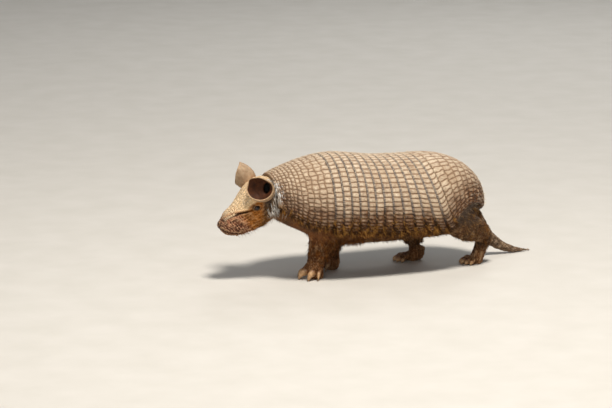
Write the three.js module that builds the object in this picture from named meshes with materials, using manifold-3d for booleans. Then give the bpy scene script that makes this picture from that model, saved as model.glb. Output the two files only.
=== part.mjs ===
// A naked-tailed armadillo at life size, walking with its left fore foot ahead.
// Millimetres: +X runs to the head, +Y to the animal's left, +Z up, and the soles lie on z = 0.
import * as THREE from "three";
import { mergeVertices } from "three/addons/utils/BufferGeometryUtils.js";
import Module from "manifold-3d";

const wasm = await Module();
wasm.setup();

// ---------------------------------------------------------------- driving dimensions

const CUT = 0.3; // gap left where two pieces meet
const WIDEST_LEVEL = 0.44; // height of a body section's widest place, as a share of its depth
const ROUND = { upper: 2.15, lower: 2.35 }; // superellipse powers of a body section

// Sections of the armoured body, from the neck to the root of the tail. Each lies in the plane
// through its point on the back and its point on the belly.
// back x, back z, belly x, belly z, half width, y of the spine, angle from the top to the plate's edge
const BODY = [
  [168, 151, 162, 84, 38, -4.5, 100],
  [148, 158.5, 147, 74, 54, -3.6, 110],
  [125, 166, 125, 63, 66, -1.6, 119],
  [95, 173.5, 95, 49, 73, 0.8, 119],
  [62, 175.5, 62, 41, 76, 3.2, 118],
  [10, 169, 10, 39, 77, 5.6, 119],
  [-40, 166.5, -40, 39, 77, 5, 121],
  [-78, 166, -78, 39, 76, 2.4, 123],
  [-108, 160.5, -88, 40, 73.5, 0.2, 114],
  [-133, 148.5, -98, 43, 68, -1.9, 94],
  [-152, 130.5, -108, 47, 59, -4, 82],
  [-164, 109, -119, 52, 47, -5.8, 74],
  [-168, 92, -133, 57, 34, -7.2, 68],
  [-164, 80, -150, 65, 18, -8.4, 66],
];

const SHELL = {
  thickness: 4,
  clearance: 1.2, // from a plate's inside to the flesh
  seam: 0.5, // between neighbouring plates
  frontRow: 0.1, // row of BODY where the scapular shield begins
  rearRow: 12.75, // row of BODY where the pelvic shield ends
  bands: 13,
  firstBandX: 89.5,
  lastBandX: -61,
  firstSwept: 6.5, // seams behind this one sweep back down the flanks
  sweep: 2.26, // by this much more at each seam, halfway down
  arcSteps: 16,
  lowest: 120, // angle from the top at which a seam meets the plates' lower edge
  spread: 1 / 60, // radians that a millimetre of growth adds at the lower edges
};

// Sections of the head, from the nape to the nose: top x, top z, underside x, underside z, half width.
const HEAD = [
  [173, 149, 166, 84, 31.5],
  [190, 144, 180, 78, 31.5],
  [205, 130, 193, 72, 27],
  [217, 114, 204, 68, 21.5],
  [229, 102, 214, 66, 17.5],
  [236, 93.5, 223, 66, 15],
  [241, 86.5, 232, 69, 12],
  [242.5, 82.5, 237, 73, 8.5],
];
const HEAD_Y = -4.5;
const HEAD_SHIELD = {
  thickness: 2.2,
  rows: [0.45, 5.2], // where it begins and ends in HEAD
  edge: [66, 42], // angle from the top to its edge, at the two ends
  nape: 0.12, // how far its outline has widened at the nape, in half turns
  steps: 8,
  count: 7,
  // What a millimetre of growth adds: rows at the nape and at the nose, radians at the edges.
  spread: { nape: 1 / 12, nose: 1 / 9, edge: 1 / 12 },
};
const NOSTRIL = { radius: 1.8, apart: 8, depth: 4, x: 242, z: 77 };
const EYE = { row: 1.55, angle: 80, radius: 4.6, sunk: 2.6 };
const EAR = {
  rootRadius: 9,
  mouthRadius: 20,
  wall: 2,
  buried: -0.35, // the root's start, as a share of the ear's length
  canal: 0.3, // the hollow's end, as a share of the ear's length
  rim: { middle: 0.72, slant: 0.28 }, // reach of the rim, and how far it is cut back at the front
  pinch: 0.42, // narrowing of the rim at the back
  flatness: 0.8, // depth from front to back as a share of the width
  around: 12,
};
const NECK = { waist: 0.03, rings: 3 };

const TAIL = {
  path: [
    [-154, -8, 74],
    [-168, -10.5, 56],
    [-184, -13, 33],
    [-203, -16, 17.5],
    [-228, -17, 6],
    [-263, -19, 1.5],
  ],
  radius: [12.5, 11.7, 10.2, 8.4, 5.6, 1.6],
  length: 130,
  split: 0.52,
  sides: 8,
};

// ---------------------------------------------------------------- shapes

const clamp = THREE.MathUtils.clamp;
const rad = THREE.MathUtils.degToRad;

// A row read at a fractional place in a table, smooth across the rows (Catmull-Rom).
function rowAt(table, place) {
  const last = table.length - 1;
  const t = clamp(place, 0, last);
  const i = Math.min(Math.floor(t), last - 1);
  const f = t - i;
  const [a, b, c, d] = [-1, 0, 1, 2].map((k) => table[clamp(i + k, 0, last)]);
  return b.map((v, k) => {
    const cubic = 3 * (v - c[k]) + d[k] - a[k];
    const square = 2 * a[k] - 5 * v + 4 * c[k] - d[k];
    return v + 0.5 * f * (c[k] - a[k] + f * (square + f * cubic));
  });
}

const power = (v, p) => Math.sign(v) * Math.abs(v) ** (2 / p);
const HALVINGS = 30; // of the search for a row
const STEEP = 0.2; // a curve's direction counts as upright when less than this share of it is level

// The row of BODY whose section passes a given x at an angle from the top.
function rowAtX(x, angle) {
  const upper = Math.cos(angle) >= 0;
  const share = upper ? 1 - WIDEST_LEVEL : WIDEST_LEVEL;
  const level = WIDEST_LEVEL + share * power(Math.cos(angle), upper ? ROUND.upper : ROUND.lower);
  let [near, far] = [0, BODY.length - 1];
  for (let n = 0; n < HALVINGS; n++) {
    const mid = (near + far) / 2;
    const [topX, , underX] = rowAt(BODY, mid);
    if (THREE.MathUtils.lerp(underX, topX, level) > x) near = mid;
    else far = mid;
  }
  return near;
}

// A point of a section: angle 0 is the top, +90 degrees the left side, 180 the underside.
function sectionPoint(top, under, half, y, yaw, angle, depth) {
  const up = new THREE.Vector2().subVectors(top, under);
  const height = up.length();
  up.normalize();
  const upper = Math.cos(angle) >= 0;
  const round = upper ? ROUND.upper : ROUND.lower;
  const reach = (upper ? 1 - WIDEST_LEVEL : WIDEST_LEVEL) * height - depth;
  const rise = WIDEST_LEVEL * height + reach * power(Math.cos(angle), round);
  const side = (half - depth) * power(Math.sin(angle), round);
  const middle = (top.x + under.x) / 2;
  const along = under.x + up.x * rise - middle;
  return new THREE.Vector3(
    middle + along * Math.cos(yaw) - side * Math.sin(yaw),
    y + along * Math.sin(yaw) + side * Math.cos(yaw),
    under.y + up.y * rise,
  );
}

function bodyPoint(row, angle, depth) {
  const [topX, topZ, underX, underZ, half, y] = rowAt(BODY, row);
  const [ahead, behind] = [row - 0.5, row + 0.5].map((place) => {
    const [upperX, , lowerX, , , spine] = rowAt(BODY, place);
    return new THREE.Vector2((upperX + lowerX) / 2, spine);
  });
  const yaw = Math.atan2(ahead.y - behind.y, ahead.x - behind.x);
  const top = new THREE.Vector2(topX, topZ);
  return sectionPoint(top, new THREE.Vector2(underX, underZ), half, y, yaw, angle, depth);
}

function headPoint(row, angle, depth) {
  const [topX, topZ, underX, underZ, half] = rowAt(HEAD, row);
  const top = new THREE.Vector2(topX, topZ);
  return sectionPoint(top, new THREE.Vector2(underX, underZ), half, HEAD_Y, 0, angle, depth);
}

const steps = (from, to, count) =>
  Array.from({ length: count + 1 }, (_, i) => from + ((to - from) * i) / count);
const around = (count) => steps(0, 2 * Math.PI, count).slice(0, -1);

// A closed mesh from points and triangles, with its faces turned outwards.
function meshOf(points, faces) {
  let volume = 0;
  const cross = new THREE.Vector3();
  for (const [a, b, c] of faces) {
    volume += points[a].dot(cross.crossVectors(points[b], points[c]));
  }
  const geometry = new THREE.BufferGeometry().setFromPoints(points);
  geometry.setIndex(faces.flatMap(([a, b, c]) => (volume < 0 ? [a, c, b] : [a, b, c])));
  return geometry;
}

// A skin over rings of points, closed at both ends by fans.
function loft(rings) {
  const n = rings[0].length;
  const points = rings.flat();
  const faces = [];
  const quad = (a, b, c, d) => faces.push([a, b, c], [a, c, d]);
  for (let i = 0; i < rings.length - 1; i++) {
    for (let j = 0; j < n; j++) {
      const k = (j + 1) % n;
      quad(i * n + j, i * n + k, (i + 1) * n + k, (i + 1) * n + j);
    }
  }
  for (const [ring, start, turn] of [
    [rings[0], 0, true],
    [rings.at(-1), (rings.length - 1) * n, false],
  ]) {
    const hub = points.length;
    points.push(ring.reduce((sum, p) => sum.add(p), new THREE.Vector3()).divideScalar(n));
    for (let j = 0; j < n; j++) {
      const [a, b] = [start + j, start + ((j + 1) % n)];
      faces.push(turn ? [hub, b, a] : [hub, a, b]);
    }
  }
  return meshOf(points, faces);
}

// A plate between two grids of points with the same rows and columns.
function slab(outer, inner) {
  const [rows, columns] = [outer.length, outer[0].length];
  const points = [...outer.flat(), ...inner.flat()];
  const at = (i, j, inside) => i * columns + j + (inside ? rows * columns : 0);
  const faces = [];
  const quad = (a, b, c, d) => faces.push([a, b, c], [a, c, d]);
  for (let i = 0; i < rows - 1; i++) {
    for (let j = 0; j < columns - 1; j++) {
      quad(at(i, j), at(i, j + 1), at(i + 1, j + 1), at(i + 1, j));
      quad(at(i, j, 1), at(i + 1, j, 1), at(i + 1, j + 1, 1), at(i, j + 1, 1));
    }
  }
  for (let j = 0; j < columns - 1; j++) {
    quad(at(0, j), at(0, j, 1), at(0, j + 1, 1), at(0, j + 1));
    quad(at(rows - 1, j), at(rows - 1, j + 1), at(rows - 1, j + 1, 1), at(rows - 1, j, 1));
  }
  const end = columns - 1;
  for (let i = 0; i < rows - 1; i++) {
    quad(at(i, 0), at(i + 1, 0), at(i + 1, 0, 1), at(i, 0, 1));
    quad(at(i, end), at(i, end, 1), at(i + 1, end, 1), at(i + 1, end));
  }
  return meshOf(points, faces);
}

// Rings round a curve. radius(t) gives [across, upright]; grow swells it; the floor flattens it.
function rings(path, radius, { count, sides, grow = 0, from = 0, to = 1 }) {
  const curve = new THREE.CatmullRomCurve3(path.map((p) => new THREE.Vector3(...p)));
  return steps(from, to, count).map((t) => {
    const centre = curve.getPoint(t);
    const ahead = curve.getTangent(t);
    const across = new THREE.Vector3(-ahead.y, ahead.x, 0);
    if (across.length() < STEEP) across.set(0, 1, 0);
    across.normalize();
    const up = new THREE.Vector3().crossVectors(ahead, across);
    if (t === from) centre.addScaledVector(ahead, -grow);
    if (t === to) centre.addScaledVector(ahead, grow);
    const [wide, high] = radius(t).map((r) => r + grow);
    return around(sides).map((angle) => {
      const p = centre.clone().addScaledVector(across, wide * Math.cos(angle));
      p.addScaledVector(up, high * Math.sin(angle));
      p.z = Math.max(p.z, 0);
      return p;
    });
  });
}

// Evenly spaced values read as a smooth function of 0 to 1.
const along = (values) => (t) => rowAt(values, t * (values.length - 1));
const round = (values) => along(values.map((r) => [r, r]));

function solid(geometry) {
  const bare = geometry.clone();
  bare.deleteAttribute("normal");
  bare.deleteAttribute("uv");
  const merged = mergeVertices(bare, 1e-4);
  const vertProperties = new Float32Array(merged.attributes.position.array);
  const triVerts = new Uint32Array(merged.index.array);
  return new wasm.Manifold(new wasm.Mesh({ numProp: 3, vertProperties, triVerts }));
}

// The largest body of a solid, as a geometry.
function geometryOf(manifold) {
  const bodies = manifold.decompose().sort((a, b) => b.volume() - a.volume());
  const mesh = bodies[0].getMesh();
  const geometry = new THREE.BufferGeometry();
  geometry.setAttribute("position", new THREE.BufferAttribute(mesh.vertProperties, 3));
  geometry.setIndex(new THREE.BufferAttribute(mesh.triVerts, 1));
  return geometry;
}

const joined = (geometries) => geometries.map(solid).reduce((all, one) => all.add(one));
const without = (whole, cutters) => cutters.reduce((rest, cutter) => rest.subtract(cutter), whole);

// ---------------------------------------------------------------- materials and nodes

const paint = (color, roughness) => () =>
  new THREE.MeshStandardMaterial({ color, roughness, metalness: 0 });
const LOOK = {
  plate: paint(0x8f7a60, 0.75),
  skin: paint(0x8a6647, 0.85),
  ear: paint(0x5a3a30, 0.75),
  tail: paint(0x8c7468, 0.75),
  claw: paint(0xb9a183, 0.45),
  eye: paint(0x120d0b, 0.12),
};
const armadillo = new THREE.Group();

function add(name, geometry, look) {
  const mesh = new THREE.Mesh(geometry, look());
  mesh.name = name;
  mesh.geometry.computeVertexNormals();
  armadillo.add(mesh);
}

// ---------------------------------------------------------------- shell

// The row of BODY where the seam in front of band n lies at an angle from the top.
function seamRow(n, angle, gap = 0) {
  const pitch = (SHELL.firstBandX - SHELL.lastBandX) / SHELL.bands;
  const sweep = SHELL.sweep * Math.max(0, n - SHELL.firstSwept) * (1 - Math.cos(angle)) ** 2;
  return rowAtX(SHELL.firstBandX - n * pitch - sweep + gap, angle);
}

// Seams spaced evenly from one to another; each is a function of the angle that gives a row of BODY.
const lerp = THREE.MathUtils.lerp;
const between = (front, rear, count) =>
  steps(0, 1, count).map((share) => (angle) => lerp(front(angle), rear(angle), share));

// An arched plate over a list of seams, swollen by grow.
function plate(seams, grow = 0) {
  const grid = (depth) =>
    seams.map((seam) => {
      const edge = rad(rowAt(BODY, seam(rad(SHELL.lowest)))[6]) + grow * SHELL.spread;
      const angles = steps(-edge, edge, SHELL.arcSteps);
      return angles.map((angle) => bodyPoint(seam(angle), angle, depth));
    });
  return slab(grid(-grow), grid(SHELL.thickness + grow));
}

const HALF_SEAM = SHELL.seam / 2;
const seamAt = (n, gap = 0) => (angle) => seamRow(n, angle, gap);
const SCAPULAR = between(() => SHELL.frontRow, seamAt(0, HALF_SEAM), 7);
const PELVIC = between(seamAt(SHELL.bands, -HALF_SEAM), () => SHELL.rearRow, 9);
const SEAMS = steps(0, SHELL.bands, SHELL.bands).map((n) => seamAt(n));

function shell() {
  add("scapular_shield", plate(SCAPULAR), LOOK.plate);
  for (let n = 0; n < SHELL.bands; n++) {
    const seams = [seamAt(n, -HALF_SEAM), seamAt(n + 1, HALF_SEAM)];
    add("band_" + String(n + 1).padStart(2, "0"), plate(seams), LOOK.plate);
  }
  add("pelvic_shield", plate(PELVIC), LOOK.plate);
}

// ---------------------------------------------------------------- trunk and neck

const TRUNK_ROWS = { first: 0.25, last: 13, count: 18, sides: 20 };
const FLESH_DEPTH = SHELL.thickness + SHELL.clearance;

function trunk(grow = 0) {
  const { first, last, count, sides } = TRUNK_ROWS;
  const ring = (row) => around(sides).map((a) => bodyPoint(row, a, FLESH_DEPTH - grow));
  return loft(steps(first, last, count).map(ring));
}

function neck() {
  const front = around(TRUNK_ROWS.sides).map((a) => headPoint(0, a, 1));
  const back = around(TRUNK_ROWS.sides).map((a) => bodyPoint(TRUNK_ROWS.first, a, FLESH_DEPTH));
  const share = CUT / (front[0].x - back[0].x);
  return loft(
    steps(share, 1 - share, NECK.rings).map((t) => {
      const waist = 1 - NECK.waist * Math.sin(Math.PI * t);
      const middle = new THREE.Vector3();
      const ring = back.map((p, i) => p.clone().lerp(front[i], t));
      for (const p of ring) middle.addScaledVector(p, 1 / ring.length);
      return ring.map((p) => p.sub(middle).multiplyScalar(waist).add(middle));
    }),
  );
}

// ---------------------------------------------------------------- head

const HEAD_GRID = { count: 10, sides: 16 };

function headBulk(grow = 0) {
  const { count, sides } = HEAD_GRID;
  const ring = (row) => around(sides).map((a) => headPoint(row, a, -grow));
  return loft(steps(0, HEAD.length - 1, count).map(ring));
}

function headShield(grow = 0) {
  const { rows, edge, nape, count, spread, thickness } = HEAD_SHIELD;
  const grid = (depth) =>
    steps(rows[0] - grow * spread.nape, rows[1] + grow * spread.nose, count).map((row, i) => {
      const taper = Math.sin(Math.PI * clamp(nape + i / count, 0, 0.5));
      const reach = rad(lerp(...edge, i / count)) * taper + grow * spread.edge;
      return steps(-reach, reach, HEAD_SHIELD.steps).map((angle) => headPoint(row, angle, depth));
    });
  return slab(grid(-grow), grid(thickness + grow));
}

// A funnel ear: root and tip are its two ends, open gives the side that its mouth faces.
function ear({ root, tip, open }) {
  const start = new THREE.Vector3(...root);
  const rise = new THREE.Vector3(...tip).sub(start);
  const axis = rise.clone().normalize();
  const face = new THREE.Vector3(...open);
  face.addScaledVector(axis, -face.dot(axis)).normalize();
  const side = new THREE.Vector3().crossVectors(axis, face);
  // t runs from the root to the rim; the rim is cut back on the side that the mouth faces.
  const ring = (t, inset) =>
    around(EAR.around).map((angle) => {
      const front = Math.cos(angle);
      const reach = rise.length() * (EAR.rim.middle - EAR.rim.slant * front) * t;
      const flare = Math.sin((Math.PI / 2) * Math.max(t, 0) ** 0.8);
      const closing = 1 - EAR.pinch * t ** 4 * Math.max(0, -front);
      const radius = lerp(EAR.rootRadius, EAR.mouthRadius, flare) * closing - inset;
      const p = start.clone().addScaledVector(axis, reach);
      p.addScaledVector(face, radius * front * EAR.flatness);
      return p.addScaledVector(side, radius * Math.sin(angle));
    });
  const outside = [EAR.buried, 0, 0.3, 0.6, 0.85, 1].map((t) => ring(t, 0));
  const inside = [0.97, 0.8, 0.55, EAR.canal].map((t) => ring(t, EAR.wall));
  return loft([...outside, ...inside]);
}

const EARS = {
  left: { root: [178, 18, 123], tip: [198, 38, 147.5], open: [0.5, 0.85, -0.1] },
  right: { root: [182, -23, 128.5], tip: [195.5, -39, 160], open: [0.7, -0.7, 0.1] },
};

const SHIELD_CUT = 1.6 * CUT; // leaves the common gap round the head shield's slanting edges

function head() {
  const shield = solid(headShield(SHIELD_CUT));
  const grown = solid(headBulk(CUT));
  const sockets = [];
  for (const side of [1, -1]) {
    const at = headPoint(EYE.row, side * rad(EYE.angle), EYE.sunk);
    const ball = (radius) => new THREE.SphereGeometry(radius, 10, 6).translate(at.x, at.y, at.z);
    sockets.push(solid(ball(EYE.radius + CUT)));
    add(side > 0 ? "eye_left" : "eye_right", ball(EYE.radius), LOOK.eye);
    const { radius, apart, depth, x, z } = NOSTRIL;
    const nostril = new THREE.CylinderGeometry(radius, radius, 2 * depth, 6).rotateZ(Math.PI / 2);
    sockets.push(solid(nostril.translate(x, HEAD_Y + (side * apart) / 2, z)));
  }
  add("head", geometryOf(without(solid(headBulk()), [shield, ...sockets])), LOOK.skin);
  add("head_shield", headShield(), LOOK.plate);
  for (const [side, shape] of Object.entries(EARS)) {
    add("ear_" + side, geometryOf(without(solid(ear(shape)), [grown, shield])), LOOK.ear);
  }
}

// ---------------------------------------------------------------- tail

function tail(plates) {
  const { path, radius, length, split, sides } = TAIL;
  const part = (from, to, count) => loft(rings(path, round(radius), { count, sides, from, to }));
  const root = without(solid(part(0, split, 5)), [solid(trunk(CUT)), ...plates]);
  add("tail_root", geometryOf(root), LOOK.tail);
  add("tail_tip", part(split + CUT / length, 1, 6), LOOK.tail);
}

// ---------------------------------------------------------------- legs, feet and claws

// Each leg runs from inside the body to the wrist or hock; radius pairs are [across, upright].
const LEGS = {
  fore_leg_left: {
    path: [[98, 34, 92], [98, 37, 66], [101, 34, 46], [105, 29, 26]],
    radius: [[22, 26], [19, 23], [15, 17], [12, 13]],
  },
  fore_leg_right: {
    path: [[62, -34, 90], [54, -34, 64], [53, -29, 44], [60, -23, 25]],
    radius: [[22, 26], [19, 22], [15, 16], [11.5, 12]],
  },
  hind_leg_left: {
    path: [[-104, 36, 92], [-116, 42, 68], [-139, 40, 54], [-160, 32, 47]],
    radius: [[22, 30], [21, 25], [16, 19], [11, 12.5]],
  },
  hind_leg_right: {
    path: [[-100, -38, 90], [-82, -46, 64], [-74, -38, 42], [-81, -30, 24]],
    radius: [[22, 36], [20, 29], [15, 18], [11, 12]],
  },
};

// Each foot runs from the wrist or hock down to a flat sole; its toes spring from knuckle.
const FEET = {
  fore_foot_left: {
    path: [[105, 29, 26], [106, 27, 14], [104, 25, -4]],
    radius: [[12, 13], [13, 12], [12, 10.5]],
    knuckle: [103, 25],
    heading: 4,
    kind: "fore",
  },
  fore_foot_right: {
    path: [[60, -23, 25], [60, -22, 14], [60, -21, -4]],
    radius: [[12, 12], [13, 12], [12, 10.5]],
    knuckle: [60, -21],
    heading: -6,
    kind: "fore",
  },
  hind_foot_left: {
    path: [[-160, 31, 45], [-156, 28, 24], [-147, 25, -4]],
    radius: [[11, 12], [11, 9.5], [13, 9]],
    knuckle: [-148, 25],
    heading: 4,
    kind: "hind",
  },
  hind_foot_right: {
    path: [[-82, -30, 22], [-78, -29, 7], [-64, -28, 5.5]],
    radius: [[11, 12], [11, 10], [12.5, 8]],
    knuckle: [-66, -28],
    heading: -6,
    kind: "hind",
  },
};

// Toes from the inner to the outer one: offset across the foot, spread in degrees, length, radius
// and claw length; arch gives the heights of a toe at its root, knuckle and end.
const TOES = {
  fore: {
    arch: [13, 17, 11],
    digits: [
      { offset: -10.5, spread: -36, length: 12, radius: 3, claw: 9 },
      { offset: -6, spread: -19, length: 15, radius: 3.8, claw: 12 },
      { offset: 0.5, spread: 2, length: 17, radius: 5.6, claw: 16 },
      { offset: 7.5, spread: 25, length: 14, radius: 5.6, claw: 14 },
      { offset: 11.5, spread: 52, length: 9, radius: 3.2, claw: 8 },
    ],
  },
  hind: {
    arch: [7, 8, 4.6],
    digits: [
      { offset: -8, spread: -24, length: 13, radius: 3, claw: 5 },
      { offset: -4, spread: -12, length: 16, radius: 3.5, claw: 7 },
      { offset: 0, spread: 0, length: 17, radius: 3.8, claw: 8 },
      { offset: 4, spread: 12, length: 16, radius: 3.5, claw: 7 },
      { offset: 8, spread: 24, length: 13, radius: 3, claw: 5 },
    ],
  },
};
// Along a toe and its claw: start is in millimetres, tipHeight too, the rest are shares.
const TOE = { start: 3, knuckle: 0.6, middle: 0.45, drop: 0.75, end: 0.5, tipHeight: 0.8 };
const CLAW = { reach: 0.78, root: 0.82, tip: 0.12, upright: 1.15 };

function foot({ path, radius, knuckle, heading, kind }, side) {
  const pieces = [loft(rings(path, along(radius), { count: 4, sides: 8 }))];
  const claws = [];
  const { arch, digits } = TOES[kind];
  for (const { offset, spread, length, radius: girth, claw } of digits) {
    const [forward, turn] = [rad(heading), rad(heading + side * spread)];
    const root = new THREE.Vector2(...knuckle);
    root.x -= side * offset * Math.sin(forward);
    root.y += side * offset * Math.cos(forward);
    const direction = new THREE.Vector2(Math.cos(turn), Math.sin(turn));
    const out = (reach, height) => [...root.clone().addScaledVector(direction, reach), height];
    const digit = [
      out(TOE.start, arch[0]),
      out(length * TOE.knuckle, arch[1]),
      out(length, arch[2]),
      out(length + claw * TOE.middle, arch[2] * TOE.drop),
      out(length + claw * CLAW.reach, TOE.tipHeight),
    ];
    const gap = CUT / (2 * (length + claw));
    pieces.push(loft(rings(digit, () => [girth, girth], { count: 2, sides: 6, to: TOE.end })));
    const nail = (t) => {
      const taper = girth * lerp(CLAW.root, CLAW.tip, (t - TOE.end) / (1 - TOE.end));
      return [taper, CLAW.upright * taper];
    };
    claws.push(loft(rings(digit, nail, { count: 2, sides: 6, from: TOE.end + gap })));
  }
  return { pieces, claws };
}

function limbs(covers) {
  for (const [name, { path, radius }] of Object.entries(LEGS)) {
    const shape = (grow) => loft(rings(path, along(radius), { count: 5, sides: 10, grow }));
    const footName = name.replace("leg", "foot");
    const side = name.endsWith("left") ? 1 : -1;
    add(name, geometryOf(without(solid(shape(0)), covers)), LOOK.skin);
    const { pieces, claws } = foot(FEET[footName], side);
    add(footName, geometryOf(joined(pieces).subtract(solid(shape(CUT)))), LOOK.skin);
    claws.forEach((claw, n) => {
      add(footName.replace("foot", "claw") + "_" + (n + 1), claw, LOOK.claw);
    });
  }
}

// ---------------------------------------------------------------- the whole animal

const plates = [SCAPULAR, SEAMS, PELVIC].map((seams) => solid(plate(seams, CUT)));
shell();
add("trunk", geometryOf(without(solid(trunk()), plates)), LOOK.skin);
add("neck", geometryOf(without(solid(neck()), plates)), LOOK.skin);
head();
tail(plates);
limbs([solid(trunk(CUT)), ...plates]);

// The origin is on the floor, below the middle of the whole animal.
const middle = new THREE.Box3().setFromObject(armadillo).getCenter(new THREE.Vector3());
armadillo.position.set(-middle.x, -middle.y, 0);

export default armadillo;
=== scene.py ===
import math

import bmesh
import bpy
import numpy as np
from mathutils import Matrix, Vector


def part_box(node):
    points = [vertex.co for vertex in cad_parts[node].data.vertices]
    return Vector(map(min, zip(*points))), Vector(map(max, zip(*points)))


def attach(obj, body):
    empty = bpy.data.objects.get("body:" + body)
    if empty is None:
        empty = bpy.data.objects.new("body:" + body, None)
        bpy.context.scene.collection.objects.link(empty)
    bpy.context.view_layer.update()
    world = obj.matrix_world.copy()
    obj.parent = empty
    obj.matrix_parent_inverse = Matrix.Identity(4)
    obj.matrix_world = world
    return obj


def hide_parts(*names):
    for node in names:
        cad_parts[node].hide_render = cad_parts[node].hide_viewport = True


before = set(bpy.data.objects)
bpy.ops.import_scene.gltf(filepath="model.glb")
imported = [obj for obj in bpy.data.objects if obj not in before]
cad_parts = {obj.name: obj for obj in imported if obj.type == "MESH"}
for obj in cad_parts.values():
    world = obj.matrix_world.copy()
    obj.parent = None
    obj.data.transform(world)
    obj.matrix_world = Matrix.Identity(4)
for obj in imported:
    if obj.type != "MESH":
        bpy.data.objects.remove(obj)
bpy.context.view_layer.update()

# ------------ dimensions of the animal, in millimetres

WIDEST_LEVEL, UPPER_ROUND, LOWER_ROUND = 0.44, 2.15, 2.35
# back x, back z, belly x, belly z, half width, y of the spine, angle from the top to the plate's edge
BODY = np.array([
    [168, 151, 162, 84, 38, -4.5, 100],
    [148, 158.5, 147, 74, 54, -3.6, 110],
    [125, 166, 125, 63, 66, -1.6, 119],
    [95, 173.5, 95, 49, 73, 0.8, 119],
    [62, 175.5, 62, 41, 76, 3.2, 118],
    [10, 169, 10, 39, 77, 5.6, 119],
    [-40, 166.5, -40, 39, 77, 5, 121],
    [-78, 166, -78, 39, 76, 2.4, 123],
    [-108, 160.5, -88, 40, 73.5, 0.2, 114],
    [-133, 148.5, -98, 43, 68, -1.9, 94],
    [-152, 130.5, -108, 47, 59, -4, 82],
    [-164, 109, -119, 52, 47, -5.8, 74],
    [-168, 92, -133, 57, 34, -7.2, 68],
    [-164, 80, -150, 65, 18, -8.4, 66],
], float)
SHELL_THICKNESS, FLESH_DEPTH, HALF_SEAM = 4.0, 5.5, 0.25
BANDS, FIRST_BAND_X, LAST_BAND_X = 13, 89.5, -61.0
BAND_PITCH = (FIRST_BAND_X - LAST_BAND_X) / BANDS
FIRST_SWEPT, SWEEP = 6.5, 2.26
FRONT_ROW, REAR_ROW, LOWEST = 0.1, 12.75, math.radians(120)

# top x, top z, underside x, underside z, half width
HEAD = np.array([
    [173, 149, 166, 84, 31.5],
    [190, 144, 180, 78, 31.5],
    [205, 130, 193, 72, 27],
    [217, 114, 204, 68, 21.5],
    [229, 102, 214, 66, 17.5],
    [236, 93.5, 223, 66, 15],
    [241, 86.5, 232, 69, 12],
    [242.5, 82.5, 237, 73, 8.5],
], float)
HEAD_Y = -4.5
SHIELD_ROWS, SHIELD_EDGE, SHIELD_THICKNESS = (0.45, 5.2), (66, 42), 2.2
SHIELD_HALF_WIDTH, SHIELD_LENGTH = 24, 90
EYE_ROW, EYE_ANGLE, EYE_RADIUS, EYE_SUNK, CORNEA = 1.55, math.radians(80), 4.6, 2.6, 0.35
# x and z of the groove over the eye and snout, and of the mouth
BROW = ([186, 194, 200, 207, 214, 222, 230, 237], [110.5, 108, 105, 102.4, 100.6, 98, 94.2, 89.6])
MOUTH = ([198, 206, 213, 220, 228, 236, 241], [76, 73, 71, 70.6, 72, 75, 77])

# root, tip and facing of each ear
EARS = {
    "left": ([178, 18, 123], [198, 38, 147.5], [0.5, 0.85, -0.1]),
    "right": ([182, -23, 128.5], [195.5, -39, 160], [0.7, -0.7, 0.1]),
}
# middle and width in degrees round the ear's rim of each bulge or dent of its outline, and the share it adds
EAR_CORNERS = {
    "left": ((218, 22, 0.24), (318, 26, 0.05), (132, 34, -0.13), (90, 20, -0.04), (45, 24, 0.05)),
    "right": ((238, 24, 0.20), (90, 30, 0.18), (148, 24, -0.14), (290, 26, -0.04), (0, 40, 0.12)),
}
EAR_RADIUS, EAR_FLARE, EAR_FLATNESS, BOWL_DEPTH, CANAL_DEPTH = 9, 11, 0.8, 7.5, 5
EAR_SWAY = {"left": np.array([3.0, 0, 0.3]), "right": np.array([6.0, -2, 0])}

TAIL_PATH = [
    [-154, -8, 74], [-168, -10.5, 56], [-184, -13, 33], [-203, -16, 17.5], [-228, -17, 6], [-263, -19, 1.5],
]
TAIL_RADIUS = np.array([[12.5], [11.7], [10.2], [8.4], [5.6], [1.6]])
# x where the head, the chest and the tail begin, and the height of the legs
HEAD_X, CHEST_X, TAIL_X, LEG_TOP = 176, 150, -175, 74
# path of each leg, and its half widths across and along
LEGS = {
    "fore_leg_left": (
        [[98, 34, 92], [98, 37, 66], [101, 34, 46], [105, 29, 26]],
        [[22, 26], [19, 23], [15, 17], [12, 13]],
    ),
    "fore_leg_right": (
        [[62, -34, 90], [54, -34, 64], [53, -29, 44], [60, -23, 25]],
        [[22, 26], [19, 22], [15, 16], [11.5, 12]],
    ),
    "hind_leg_left": (
        [[-104, 36, 92], [-116, 42, 68], [-139, 40, 54], [-160, 32, 47]],
        [[22, 30], [21, 25], [16, 19], [11, 12.5]],
    ),
    "hind_leg_right": (
        [[-100, -38, 90], [-82, -46, 64], [-74, -38, 42], [-81, -30, 24]],
        [[22, 36], [20, 29], [15, 18], [11, 12]],
    ),
}
# the same for each foot, then where its toes start and its heading in degrees
FEET = {
    "fore_foot_left": (
        [[105, 29, 26], [106, 27, 14], [104, 25, -4]], [[12, 13], [13, 12], [12, 10.5]], [103, 25], 4,
    ),
    "fore_foot_right": (
        [[60, -23, 25], [60, -22, 14], [60, -21, -4]], [[12, 12], [13, 12], [12, 10.5]], [60, -21], -6,
    ),
    "hind_foot_left": (
        [[-160, 31, 45], [-156, 28, 24], [-147, 25, -4]], [[11, 12], [11, 9.5], [13, 9]], [-148, 25], 4,
    ),
    "hind_foot_right": (
        [[-82, -30, 22], [-78, -29, 7], [-64, -28, 5.5]], [[11, 12], [11, 10], [12.5, 8]], [-66, -28], -6,
    ),
}
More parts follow.
